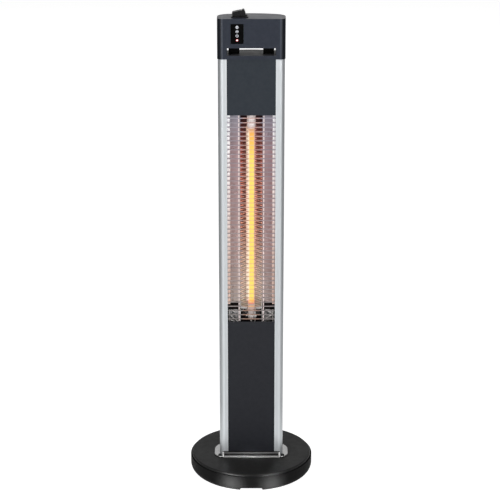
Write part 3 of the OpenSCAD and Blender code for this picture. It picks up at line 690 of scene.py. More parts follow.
@dataclass(frozen=True)
class CappedSkin(Finish):
    """Moulded plastic with painted light: a top painted paler, front corners painted dark as shade, and a
    painted highlight line beside each.
    """

    layers: float = 3.0
    reach: float = 73 * MM
    # edges paints shade on the front corners, lines paints a highlight line beside each, and cap paints the
    # upward faces paler.
    edges: Stops = ((0.0, 0.35), (0.045, 0.35), (0.05, 1.0), (0.95, 1.0), (0.955, 0.35), (1.0, 0.35))
    lines: Stops = ((0.0, 0.0), (0.052, 0.0), (0.058, (0.030, 0.032, 0.036)), (0.070, (0.030, 0.032, 0.036)),
                    (0.078, 0.0), (0.922, 0.0), (0.930, (0.022, 0.024, 0.028)),
                    (0.944, (0.022, 0.024, 0.028)), (0.950, 0.0))
    cap: Stops = ((0.0, 0.0), (0.8, 0.0), (0.95, (0.028, 0.027, 0.033)))

    def paint(self, board: Board) -> None:
        """Joins the painted corner shade, the painted highlight lines and the painted light on the top on a new
        board.

        Args:
            board: the new board.
        """
        aside = board.share("X", -self.reach, self.reach)
        face = board.product(self.tones(board), board.ramp(aside, self.edges))
        face = board.blend("ADD", face, board.ramp(aside, self.lines))
        # Painted light: faces that look up get a paler tone.
        upward = board.part(board.node("NewGeometry").outputs["Normal"], "Z")
        board.feed("Base Color", board.blend("ADD", face, board.ramp(upward, self.cap)))
        self.surface(board)


@dataclass(frozen=True)
class RailSkin(Finish):
    """Drawn alloy with fine grain down it, lighter towards the foot, with painted shade on its outer corners
    towards the foot and painted bands of highlight and shade down its profile.
    """

    reach: float = 74 * MM
    shaded: Flat = (0.06, 0.40)
    # corner and fade paint shade on the outer corners, most of it low down; lines paints bands of highlight and
    # shade across the profile.
    corner: Stops = ((0.0, 1.0), (0.042, 1.0), (0.056, 0.3), (0.066, 0.0), (0.934, 0.0), (0.944, 0.3),
                     (0.958, 1.0), (1.0, 1.0))
    fade: Stops = ((0.0, 0.3), (0.35, 0.65), (0.7, 0.5), (1.0, 0.15))
    corner_shade_depth: Tone = 0.38
    tall: Stops = ((0.0, 1.1), (0.35, 0.92), (1.0, 0.83))
    lines: Stops = ((0.0, 0.88), (0.062, 0.88), (0.068, 1.0), (0.082, 1.0), (0.09, 0.89), (0.115, 0.89),
                    (0.125, 0.98), (0.14, 0.98), (0.86, 1.0), (0.875, 1.0), (0.885, 0.91), (1.0, 0.90))

    def paint(self, board: Board) -> None:
        """Joins the painted corner shade and the painted bands on a new board.

        Args:
            board: the new board.
        """
        rise, aside = board.share("Z", *self.shaded), board.share("X", -self.reach, self.reach)
        corner = board.product(board.ramp(aside, self.corner), board.ramp(rise, self.fade))
        # Painted shade on the outer corners, darker towards the foot.
        corner_shade = board.ramp(corner, ((0.0, 1.0), (1.0, self.corner_shade_depth)))
        body = board.product(board.ramp(rise, self.tall), board.ramp(aside, self.lines))
        board.feed("Base Color", board.product(corner_shade, body, self.tones(board)))
        self.surface(board)


@dataclass(frozen=True)
class LampGlass(Finish):
    """Quartz that is lit along the glowing stretch and clear at its ends."""

    low: float = 415.6 * MM
    high: float = 829.0 * MM
    blush: float = 14 * MM
    middle: float = 0.0
    radius: float = 10 * MM
    strength: float = 1.0
    ends: tuple[Colour, Colour, Colour] = ((0.50, 0.36, 0.32), (0.95, 0.16, 0.10), (0.66, 0.38, 0.27))
    core: tuple[Colour, Colour] = ((1.0, 0.80, 0.17), (1.0, 0.50, 0.10))
    # ivory and left_rim paint a highlight down the tube's left edge; rose and right_rim paint a reddish
    # reflection down its right edge.
    ivory: Colour = (1.0, 0.86, 0.68)
    rose: Colour = (0.85, 0.50, 0.40)
    left_rim: Stops = ((0.0, 1.0), (0.17, 1.0), (0.25, 0.0))
    right_rim: Stops = ((0.0, 0.0), (0.86, 0.0), (0.93, 1.0))

    def paint(self, board: Board) -> None:
        """Joins the glow of the middle with the painted highlight down the left rim and the painted reddish
        reflection down the right rim on a new board.

        Args:
            board: the new board.
        """
        along = board.share("Z", self.low, self.high)
        edge = self.blush / (self.high - self.low)
        pale, red, blush = self.ends
        glow, left, right = [
            board.ramp(along, ((0.0, pale), (edge * 0.3, red), (edge, tone), (1 - 5 * edge, tone),
                               (1 - edge, last), (1.0, blush)))
            for tone, last in (self.core, (self.ivory, self.ivory), (self.rose, self.rose))]
        aside = board.share("X", self.middle - self.radius, self.middle + self.radius)
        for rim, stops in ((left, self.left_rim), (right, self.right_rim)):
            glow = board.blend("MIX", glow, rim, board.ramp(aside, stops))
        board.feed("Emission Color", glow)
        board.feed("Roughness", board.spread(board.noise(self.grain, self.stretch), NOISE_SPAN, self.gloss))
        board.set(Base_Color=(*colour(self.tone), 1.0), Emission_Strength=self.strength,
                  Coat_Weight=self.coat, Specular_IOR_Level=self.shine)


@dataclass(frozen=True)
class Lit(Finish):
    """A small surface that is lit all over."""

    strength: float = 1.0

    def paint(self, board: Board) -> None:
        """Joins the tones to the colour and the glow of a new board.

        Args:
            board: the new board.
        """
        lit = self.tones(board)
        board.feed("Emission Color", lit)
        board.feed("Base Color", lit)
        board.set(Emission_Strength=self.strength, Roughness=self.gloss[0])


COVER_BLACK = Finish("cover_black", "foot_black", 0.014, 0.019, (0.36, 0.44), 260.0, 0.35, 1500.0, shine=0.14)
# Skirt: its far left and right sides painted darker, as painted shade.
SKIRT_BLACK = PaintedLightSheet("skirt_black", "foot_black", 0.011, 0.014, (0.5, 0.6), 260.0, 0.35, 1500.0,
    shine=0.02, reach=150 * MM, across=((0.0, 0.6), (0.2, 0.6), (0.34, 0.95), (0.66, 0.95), (0.8, 0.55),
    (1.0, 0.55)))
PAD_RUBBER = Finish("pad_rubber", "pad_rubber", 0.008, 0.014, (0.7, 0.85), 300.0, 0.3, 900.0)
CAST_IRON = Finish("cast_iron", "iron", (0.045, 0.045, 0.047), (0.075, 0.073, 0.07), (0.55, 0.75), 180.0, 0.8,
    500.0, metal=0.8)
POLISHED = Finish("polished_flange", "polished_flange", 0.4, (0.46, 0.46, 0.455), (0.16, 0.24), 90.0, 0.05,
    700.0, metal=1.0)
# Polished bar with painted light: bands of painted highlight, reflection and shadow up its face, brighter at its
# ends.
POLISHED_BAR_PAINTED_REFLECTIONS = PaintedLightSheet("polished_bar_painted_reflections", "polished_flange", 0.8, 1.0, (0.3, 0.4), 300.0, 0.05, 700.0, metal=0.3,
    stretch=(0.15, 1.0, 1.0), shine=0.1, low=0.046, high=0.0585, reach=67 * MM,
    tints=((0.0, (0.7, 0.7, 0.69)), (0.2, (0.7, 0.7, 0.69)), (0.26, 0.01), (0.5, 0.015), (0.62, 0.06),
    (0.74, 0.26), (0.9, 0.26), (0.97, 0.01)), across=((0.0, 1.0), (0.15, 1.0), (0.5, 0.8), (0.85, 1.0),
    (1.0, 1.0)))
# Pale, barely metallic cheeks: a painted highlight at the bar's ends.
BAR_PAINTED_HIGHLIGHT = Finish("bar_painted_highlight", "polished_flange", (0.7, 0.7, 0.69), (0.8, 0.8, 0.79), (0.25, 0.35), 300.0,
    0.05, 700.0, metal=0.3)
BLACK_SCREW = Finish("black_screw", "black_screw", (0.01, 0.01, 0.011), (0.018, 0.018, 0.019), (0.3, 0.45),
    400.0, 0.1, 900.0, metal=0.5)
ZINC = Finish("zinc_steel", "zinc_steel", (0.42, 0.42, 0.43), 0.52, (0.28, 0.42), 500.0, 0.1, 1500.0,
    metal=1.0)
SPRING_STEEL = Finish("spring_steel", "spring_steel", (0.45, 0.45, 0.46), (0.55, 0.55, 0.56), (0.25, 0.35),
    500.0, 0.05, 1500.0, metal=1.0)
DIE_CAST = Finish("die_cast", "die_cast", (0.28, 0.28, 0.29), 0.36, (0.5, 0.65), 200.0, 0.4, 700.0, metal=0.9)
# Rails: painted shade on the outer corners low down and painted bands of highlight and shade down the profile.
RAIL_ALLOY = RailSkin("rail_alloy", "rail_alloy", (0.6, 0.63, 0.65), (0.66, 0.69, 0.71), (0.3, 0.38), 1400.0,
    0.06, 2600.0, metal=0.6, stretch=(1.0, 1.0, 0.006))
REAR_PAINT = Finish("rear_paint", "rear_paint", (0.02, 0.021, 0.024), (0.028, 0.029, 0.032), (0.45, 0.6),
    160.0, 0.25, 1600.0)
UPPER_SLATE = Finish("upper_slate", "upper_slate", (0.013, 0.018, 0.025), (0.016, 0.021, 0.028), (0.5, 0.6),
    120.0, 0.15, 1800.0, shine=0.2)
LOWER_SLATE = Finish("lower_slate", "lower_slate", (0.011, 0.012, 0.016), (0.013, 0.014, 0.018), (0.5, 0.6),
    120.0, 0.15, 1800.0, shine=0.18)
PLATED = Finish("plated_sheet", "plated_sheet", 0.38, (0.5, 0.49, 0.48), (0.3, 0.45), 140.0, 0.1, 600.0,
    metal=1.0)
CRUMPLED = Finish("crumpled_sheet", "plated_sheet", 0.05, (0.5, 0.48, 0.48), (0.3, 0.45), 210.0, 0.9, 260.0,
    metal=0.7)
# Pale, barely metallic steel: the stays, folds, edges and clip show as painted highlights.
STAY_PAINTED_HIGHLIGHT = Finish("stay_painted_highlight", "plated_sheet", (0.78, 0.76, 0.74), (0.88, 0.86, 0.84), (0.3, 0.4), 300.0,
    0.05, 600.0, metal=0.3)
# Plated spine coloured near black: painted shade where it shows in the gap at the lamp's lower end.
SPINE_PAINTED_SHADE = Finish("spine_painted_shade", "plated_sheet", (0.012, 0.008, 0.008), (0.03, 0.018, 0.018), (0.5, 0.6),
    140.0, 0.2, 600.0, shine=0.2)
# Wings: painted reflection, warm low down and cooler at the top, with a painted highlight along the left fold
# and the right side painted a little darker.
WING_SHEET = PaintedLightSheet("wing_sheet", "mirror_sheet", 0.85, 1.0, (0.24, 0.34), 60.0, 0.1, 160.0, metal=0.6,
    reach=50 * MM, tints=((0.0, (0.5, 0.43, 0.39)), (0.3, (0.51, 0.37, 0.36)), (0.8, (0.46, 0.32, 0.34)),
    (1.0, (0.3, 0.31, 0.37))), across=((0.0, 0.84), (0.16, 0.84), (0.19, 1.0), (0.22, 1.0), (0.25, 0.84),
    (1.0, (0.78, 0.75, 0.78))))
# Trough: painted light: the lamp's reflected glow by height, darker at the top, a painted glow low down, a
# painted strip of the lamp's reflection beside it, and painted bands of the wires' reflections and shadows.
TROUGH_SHEET = PaintedLightSheet("trough_sheet", "mirror_sheet", 0.8, 1.0, (0.06, 0.14), 60.0, 0.1, 160.0,
    metal=1.0, reach=25 * MM, tints=((0.0, (0.88, 0.8, 0.76)), (0.15, (0.92, 0.78, 0.72)),
    (0.4, (0.88, 0.6, 0.5)), (0.72, (0.8, 0.48, 0.41)), (0.88, (0.58, 0.36, 0.34)),
    (0.95, (0.22, 0.15, 0.15)), (1.0, (0.06, 0.05, 0.06))), across=((0.0, 1.0), (0.62, (1.0, 0.95, 0.95)),
    (0.8, (0.75, 0.78, 0.88)), (1.0, (0.68, 0.72, 0.85))), glow=((0.0, (0.2, 0.17, 0.13)),
    (0.18, (0.18, 0.15, 0.12)), (0.42, (0.02, 0.01, 0.01)), (1.0, 0.0)), flare=((0.0, 0.0), (0.25, 0.0),
    (0.29, (0.5, 0.46, 0.36)), (0.36, (0.5, 0.46, 0.36)), (0.64, (0.1, 0.03, 0.03)),
    (0.74, (0.06, 0.02, 0.02)), (0.8, 0.0)), lit=BESIDE_LAMP, painted_wire_bands=((0.0, (0.34, 0.28, 0.28)),
    (0.3, (0.55, 0.46, 0.44)), (0.6, (1.3, 1.24, 1.16)), (1.0, (1.4, 1.36, 1.28))))
# Lips: painted light: warm tints and a painted glow by height, with the outer edge painted darker as shade.
LIP_SHEET = PaintedLightSheet("lip_sheet", "mirror_sheet", 0.94, 1.0, (0.35, 0.45), 60.0, 0.05, 160.0, metal=0.3,
    reach=56 * MM, tints=((0.0, (0.84, 0.62, 0.53)), (0.2, (0.87, 0.68, 0.6)), (0.6, (0.97, 0.88, 0.85)),
    (1.0, (0.98, 0.98, 0.99))), across=((0.0, 1.0), (0.94, 1.0), (0.96, (0.6, 0.57, 0.57)),
    (1.0, (0.6, 0.57, 0.57))), glow=((0.0, (0.04, 0.01, 0.0)), (0.25, (0.05, 0.02, 0.01)),
    (0.6, (0.14, 0.11, 0.11)), (1.0, (0.15, 0.16, 0.17))), flare=DARK)
# Cross wires: painted lamp light: warmer and glowing orange in front of the lamp, greyer towards the sides,
# tinted by height.
CROSS_WIRE = PaintedLightSheet("cross_wire", "guard_steel", 0.92, 1.0, (0.3, 0.42), 400.0, 0.05, 900.0, metal=0.35,
    reach=30 * MM, tints=((0.0, (0.34, 0.3, 0.27)), (0.03, (0.38, 0.33, 0.3)), (0.05, (0.47, 0.41, 0.37)),
    (0.2, (0.5, 0.42, 0.39)), (0.55, (0.5, 0.4, 0.39)), (0.85, (0.46, 0.39, 0.41)), (0.95, (0.52, 0.47, 0.5)),
    (1.0, (0.56, 0.52, 0.56))), across=((0.0, (0.64, 0.65, 0.7)), (0.14, (0.64, 0.65, 0.7)),
    (0.22, (0.92, 0.66, 0.56)), (0.37, (0.92, 0.62, 0.5)), (0.4, (1.0, 0.75, 0.65)), (0.6, (1.0, 0.75, 0.65)),
    (0.63, (0.88, 0.6, 0.5)), (0.78, (0.85, 0.62, 0.56)), (0.86, (0.6, 0.61, 0.67)),
    (1.0, (0.6, 0.61, 0.67))), glow=DARK, flare=((0.0, 0.0), (0.37, 0.0), (0.42, (0.45, 0.3, 0.0)),
    (0.58, (0.45, 0.3, 0.0)), (0.63, 0.0), (1.0, 0.0)), lit=BESIDE_LAMP)
# Uprights: a pinkish tone that paints the lamp's warm light on the steel.
GUARD_STEEL = Finish("guard_upright", "guard_steel", (0.82, 0.7, 0.68), (0.92, 0.8, 0.78), (0.3, 0.42), 400.0,
    0.05, 900.0, metal=0.35)
CERAMIC = Finish("ceramic", "ceramic", (0.46, 0.39, 0.37), (0.58, 0.5, 0.47), (0.35, 0.5), 220.0, 0.3, 900.0,
    coat=0.2)
SLEEVE_WHITE = Finish("sleeve_white", "ceramic", (0.72, 0.62, 0.6), (0.98, 0.9, 0.88), (0.4, 0.5), 420.0, 0.2,
    900.0, stretch=(1.0, 1.0, 0.25))
LEAD_SLEEVE = Finish("lead_sleeve", "lead_sleeve", (0.7, 0.68, 0.62), (0.8, 0.78, 0.72), (0.6, 0.8), 900.0,
    0.4, 2500.0)
TIP_WHITE = Finish("tip_white", "tip_white", (0.6, 0.57, 0.49), (0.68, 0.65, 0.57), (0.4, 0.55), 200.0, 0.1,
    900.0)
TIP_RED = Finish("tip_red", "tip_red", (0.45, 0.04, 0.025), (0.55, 0.06, 0.035), (0.35, 0.45), 300.0, 0.1,
    900.0)
SWITCH_BLACK = Finish("switch_black", "switch_black", (0.006, 0.006, 0.007), (0.01, 0.01, 0.011),
    (0.26, 0.34), 300.0, 0.12, 2200.0, shine=0.12)
GLAND_BLACK = Finish("gland_black", "gland_black", 0.011, 0.017, (0.45, 0.6), 300.0, 0.2, 1500.0)
FLOOR_GLOSS = Finish("floor_gloss", "floor_gloss", (0.06, 0.06, 0.064), (0.072, 0.072, 0.077), (0.35, 0.45),
    120.0, 0.05, 500.0, shine=0.12)
POST_BLACK = Finish("post_black", "post_black", 0.001, 0.002, (0.3, 0.4), 260.0, 0.05, 900.0, shine=0.02)
# Head: painted shade on the front corners, a painted highlight line beside each, and a painted paler top.
HEAD_CHARCOAL = CappedSkin("head_charcoal", "head_charcoal", (0.006, 0.01, 0.02), (0.009, 0.013, 0.024),
    (0.3, 0.38), 110.0, 0.2, 2200.0, shine=0.27)
LINING_CHARCOAL = Finish("lining_charcoal", "head_charcoal", (0.006, 0.009, 0.015), (0.009, 0.012, 0.019),
    (0.3, 0.38), 110.0, 0.2, 2200.0, shine=0.25)
WINDOW_BLACK = Finish("window_black", "window_black", 0.001, 0.002, (0.12, 0.18), 120.0, 0.02, 400.0,
    shine=0.03)
BOARD_GREEN = Finish("board_green", "board_green", (0.015, 0.11, 0.04), (0.025, 0.16, 0.06), (0.35, 0.5),
    400.0, 0.2, 1200.0, coat=0.3)
RELAY_BLUE = Finish("relay_blue", "relay_blue", (0.015, 0.07, 0.3), (0.025, 0.1, 0.38), (0.3, 0.4), 300.0,
    0.1, 900.0)
CAN_BLACK = Finish("can_black", "can_black", (0.018, 0.018, 0.022), (0.03, 0.03, 0.035), (0.25, 0.35), 300.0,
    0.05, 900.0)
BRASS = Finish("terminal_brass", "terminal_brass", (0.55, 0.38, 0.13), (0.65, 0.46, 0.18), (0.25, 0.4), 400.0,
    0.1, 1200.0, metal=1.0)
MARK_WHITE = Lit("mark_white", "mark_white", (0.3, 0.31, 0.34), (0.42, 0.43, 0.46), (0.3, 0.3), 260.0, 0.0,
    1.0, strength=0.5)
MARK_DARK = Finish("mark_dark", "window_black", 0.001, 0.002, (0.4, 0.5), 120.0, 0.02, 400.0, shine=0.05)
LENS_RED = Lit("lens_red", "lens_red", (0.4, 0.01, 0.02), (0.5, 0.03, 0.04), (0.2, 0.2), 200.0, 0.0, 1.0,
    strength=0.4)
LENS_CORE = Lit("lens_core", "lens_red", (0.7, 0.62, 0.62), (0.8, 0.72, 0.72), (0.2, 0.2), 200.0, 0.0, 1.0,
    strength=0.9)
CLOTH = Finish("runner_cloth", "", 0.02, 0.03, (0.9, 0.95), 20.0, 0.1, 100.0, shine=0.1)
FELT = Finish("screen_felt", "", 0.26, 0.3, (0.9, 0.95), 20.0, 0.1, 100.0, shine=0.1)


@dataclass
class Assembly:
    """A group of pieces that is built and dressed together."""

    body: Body = Body.TOWER

    def fit(self, piece: Piece, name: str, finish: Finish, *nodes: str) -> None:
        """Gives a piece its name, its finish and its body, and the CAD nodes that it stands for.

        Args:
            piece: the finished mesh.
            name: its name.
            finish: its surface.
            nodes: the CAD nodes that it replaces.
        """
        piece.name = name
        piece.data.materials.clear()
        piece.data.materials.append(finish.material())
        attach(piece, self.body.value)
        if nodes:
            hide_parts(*nodes)
        LOG.info("%s: %d faces, %s", piece.name, len(piece.data.polygons), finish.name)

    def refit(self, node: str, name: str, finish: Finish, width: float) -> None:
        """Puts a copy with rounded edges in a CAD solid's place."""
        self.fit(rounded_copy(node, width), name, finish, node)

    def coat(self, finish: Finish, *nodes: str) -> None:
        """Gives CAD solids that stay their finish.

        Args:
            finish: their surface.
            nodes: the CAD nodes.
        """
        for node in nodes:
            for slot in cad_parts[node].material_slots:
                slot.material = finish.material()
            LOG.info("%s: solid kept, %s", node, finish.name)


@dataclass
class Foot(Assembly):
    """The round foot: skirt, cover disc and rubber pads."""

    steps: int = 160
    outer_steps: int = 14
    inner_steps: int = 12
    rim_steps: int = 5
    lip_steps: int = 2
    cover_steps: int = 10
    wall: float = 3 * MM
    lower_round: float = 18 * MM
    rim_wall: float = 2.6 * MM
    rim_round: float = 1.0 * MM
    ledge_drop: float = 3 * MM
    cover_round: float = 3.5 * MM
    notches: int = 4
    notch_half: float = 23.5 * MM
    notch_slope: float = 4 * MM
    notch_top: float = 15.4 * MM
    notch_reach: float = 24.5 * MM
    pad_radius: float = 10 * MM
    pad_edge: float = 0.5 * MM
    pad_steps: int = 32

    def build(self) -> None:
        """Builds the skirt, the cover disc and the pads."""
        self.skirt()
        self.cover()
        self.pads()
        self.coat(CAST_IRON, "base_weight")
        self.coat(ZINC, "base_bolts")

    def skirt(self) -> None:
        """The moulded skirt with its rounded lower edge and its notches, its far sides painted darker as shade.
        """
        low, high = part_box("base_shell")
        radius, top = high.x, high.z
        middle = (radius - self.lower_round, low.z + self.lower_round)
        ledge = top - self.ledge_drop
        lip = self.rim_round / 3
        floor_end = radius - self.lower_round - self.notch_reach
        profile = [(floor_end, low.z)]
        profile += arc(middle, self.lower_round, -90, 0, self.outer_steps)
        rim = (radius - self.rim_round, top - self.rim_round)
        profile += arc(rim, self.rim_round, 0, 90, self.rim_steps)
        profile += arc((radius - self.rim_wall + lip, top - lip), lip, 90, 180, self.lip_steps)
        profile += [(radius - self.rim_wall, ledge), (radius - self.wall * 2, ledge)]
        profile += arc(middle, self.lower_round - self.wall, 0, -90, self.inner_steps)
        profile += [(floor_end, low.z + self.wall)]
        skirt = lathe(profile, self.steps)
        for turn in range(self.notches):
            cut(skirt, self.notch_cutter(radius, FULL_TURN * turn / self.notches))
        self.fit(smooth(skirt), "foot_skirt", SKIRT_BLACK, "base_shell")

    def notch_cutter(self, radius: float, turn: float) -> Piece:
        """The wedge that cuts one notch.

        Args:
            radius: the foot's radius.
            turn: the notch's angle round the foot.

        Returns:
            The cutter.
        """
        foot = self.notch_half + self.notch_slope
        outline = [(-foot, -self.wall), (foot, -self.wall), (self.notch_half, self.notch_top),
                   (-self.notch_half, self.notch_top)]
        cutter = prism(outline, Plane.SECTION, -radius - self.wall, -radius + self.notch_reach)
        cutter.rotation_euler.z = turn
        return settle(cutter)

    def cover(self) -> None:
        """The cover disc with its rounded rim."""
        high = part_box("base_cover")[1]
        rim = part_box("base_shell")[1].z - self.ledge_drop
        radius, top = high.x, high.z
        inner, under = radius - self.wall, top - self.cover_round
        profile = [(self.wall, under), (inner, under - self.wall / 3), (inner, rim), (radius, rim)]
        profile += arc((radius - self.cover_round, under), self.cover_round, 0, 90, self.cover_steps)
        profile += [(self.wall, top)]
        self.fit(smooth(lathe(profile, self.steps)), "foot_cover", COVER_BLACK, "base_cover")

    def pads(self) -> None:
        """The four rubber pads under the foot."""
        low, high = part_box("base_feet")
        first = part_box("base_shell")[0].z
        radius = self.pad_radius
        reach = high.x - radius
        profile = [(0.0, low.z), (radius - self.pad_edge, low.z), (radius, low.z + self.pad_edge),
                   (radius, first), (0.0, first)]
        corners = [(x.value * reach, y.value * reach) for x in Side for y in Side]
        discs = [lathe(profile, self.pad_steps, corner) for corner in corners]
        self.fit(smooth(weld(discs)), "foot_pads", PAD_RUBBER, "base_feet")


@dataclass
class TipSwitch(Assembly):
    """The tip-over switch inside the foot, whose plunger stands on the floor."""

    def build(self) -> None:
        """Finishes the switch's solids."""
        self.coat(TIP_WHITE, "tip_guide")
        self.coat(TIP_RED, "tip_plunger")
        self.coat(SPRING_STEEL, "tip_spring")
        self.coat(SWITCH_BLACK, "tip_switch")


@dataclass
class Collar(Assembly):
    """The polished flange round the column's lower end, with its screws."""

    chamfer: float = 1.3 * MM
    front_round: float = 20 * MM
    side_round: float = 41 * MM
    corner_steps: int = 12
    rear_steps: int = 24
    bar_half: float = 67 * MM
    bar_height: float = 10 * MM
    bar_lip: float = 1.6 * MM
    bar_gap: float = 0.3 * MM
    bar_edge: float = 0.35 * MM
    end_width: float = 3.0 * MM
    end_edge: float = 0.7 * MM
    scoop: float = 2.4 * MM
    scoop_steps: int = 10
    head_radius: float = 3.7 * MM
    head_height: float = 2.8 * MM
    head_steps: int = 24
    dome_share: float = 0.6
    dome_steps: int = 6
    slot_width: float = 0.9 * MM

    def build(self) -> None:
        """Builds the flange and its screws."""
        self.flange()
        self.screws()

    def flange(self) -> None:
        """The plate with its lobes and the scooped bar in front of the column."""
        low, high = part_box("foot_flange")
        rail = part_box("left_rail")[0]
        plate = prism(self.plan(low, high), Plane.PLAN, low.z, rail.z)
        soften(plate, self.chamfer)
        face, end = self.bar_faces(low.y, rail.y - self.bar_gap, low.z, rail.z + self.bar_height)
        middle = prism(face, Plane.PROFILE, -self.bar_half, self.bar_half)
        soften(middle, self.bar_edge)
        cheeks = []
        for side in Side:
            span = sorted(side.value * x for x in (self.bar_half, self.bar_half - self.end_width))
            cheeks.append(soften(prism(end, Plane.PROFILE, *span), self.end_edge))
        # The bar carries painted bands of reflection and shadow; the cheeks are a painted highlight.
        self.fit(middle, "collar_bar", POLISHED_BAR_PAINTED_REFLECTIONS)
        self.fit(weld(cheeks), "collar_cheeks", BAR_PAINTED_HIGHLIGHT)
        self.fit(plate, "collar", POLISHED, "foot_flange")

    def plan(self, low: Vector, high: Vector) -> list[Flat]:
        """The plate's outline: round front corners and sides that close in towards the back.

        Args:
            low: the flange's lowest corner.
            high: its highest corner.

        Returns:
            The closed outline.
        """
        reach, rise = high.x - self.side_round, high.y - self.side_round
        back = (rise * rise - reach * reach) / (2 * rise)
        lean = math.degrees(math.atan2(-back, reach))
        corner = (high.x - self.front_round, low.y + self.front_round)
        right = arc(corner, self.front_round, -90, 0, self.corner_steps)
        right += arc((reach, 0.0), self.side_round, 0, lean, self.corner_steps)
        rear = arc((0.0, back), high.y - back, lean, 180 - lean, self.rear_steps)[1:-1]
        return right + rear + [(-x, y) for x, y in reversed(right)]

    def bar_faces(self, front: float, back: float, bottom: float, top: float) -> tuple[list[Flat], list[Flat]]:
        """Side views of the bar, with a lower lip and a scooped face, and of the cheek that closes its end.

        Args:
            front: the lip's front.
            back: the bar's back.
            bottom: the height of the plate's underside.
            top: the height of the bar's top.

        Returns:
            Both closed outlines, each point a depth and a height.
        """
        lip_top = bottom + self.bar_lip
        foot, head = front + self.bar_lip / 2, front + 2 * self.bar_lip
        scoop = [(foot + (head - foot) * t + self.scoop * 4 * t * (1 - t), lip_top + (top - lip_top) * t)
                 for t in [i / self.scoop_steps for i in range(self.scoop_steps + 1)]]
        base = [(back, bottom), (front, bottom)]
        return (base + [(front, lip_top)] + scoop + [(back, top)],
                base + [(front, bottom + 3 * self.bar_lip), (head, top), (back, top)])

    def screws(self) -> None:
        """The black pan-head screws, each with a slot."""
        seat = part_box("left_rail")[0].z
        r, h, half = self.head_radius, self.head_height, self.slot_width / 2
        curve = h * self.dome_share
        dome = [(0.0, seat), (r, seat)]
        dome += arc((r - curve, seat + h - curve), curve, 0, 90, self.dome_steps) + [(0.0, seat + h)]
        heads = []
        for x, y in self.screw_spots():
            slot = ((x - r, y - half, seat + curve), (x + r, y + half, seat + h * 1.5))
            heads.append(smooth(cut(lathe(dome, self.head_steps, (x, y)), block(*slot))))
        self.fit(weld(heads), "collar_screws", BLACK_SCREW, "flange_screws")

    def screw_spots(self) -> list[Flat]:
        """The middles of the four screw heads, read from the CAD solid's points.

        Returns:
            The middles in plan.
        """
        points = [v.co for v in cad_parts["flange_screws"].data.vertices]
        spots = []
        for side in Side:
            for end in Side:
                own = [p for p in points if p.x * side.value > 0 and p.y * end.value > 0]
                xs, ys = [p.x for p in own], [p.y for p in own]
                spots.append(((min(xs) + max(xs)) / 2, (min(ys) + max(ys)) / 2))
        return spots


@dataclass
class Column(Assembly):
    """The column's rails, front panels and rear cover."""

    rail_edge: float = 0.35 * MM
    panel_edge: float = 0.4 * MM
    small_edge: float = 0.5 * MM

    def build(self) -> None:
        """Builds the outer pieces and finishes the inner ones."""
        for node, name, finish, edge in (
                ("left_rail", "left_rail_profile", RAIL_ALLOY, self.rail_edge),
                ("right_rail", "right_rail_profile", RAIL_ALLOY, self.rail_edge),
                ("lower_panel", "lower_front", LOWER_SLATE, self.panel_edge),
                ("upper_panel", "upper_front", UPPER_SLATE, self.panel_edge),
                ("rear_cover", "back_cover", REAR_PAINT, self.panel_edge),
                ("rear_cover_screws", "back_cover_screws", ZINC, self.small_edge),
                ("cord_gland", "cable_gland", GLAND_BLACK, self.small_edge)):
            self.refit(node, name, finish, edge)
        self.coat(DIE_CAST, "foot_block", "top_block")
        self.coat(ZINC, "rail_screws", "spine_screws")
        # The spine is coloured near black as painted shade.
        self.coat(SPINE_PAINTED_SHADE, "chassis_spine")
        self.coat(TIP_WHITE, "terminal_block")
        self.coat(CERAMIC, "thermal_cutout")
        self.coat(LEAD_SLEEVE, "lamp_leads")


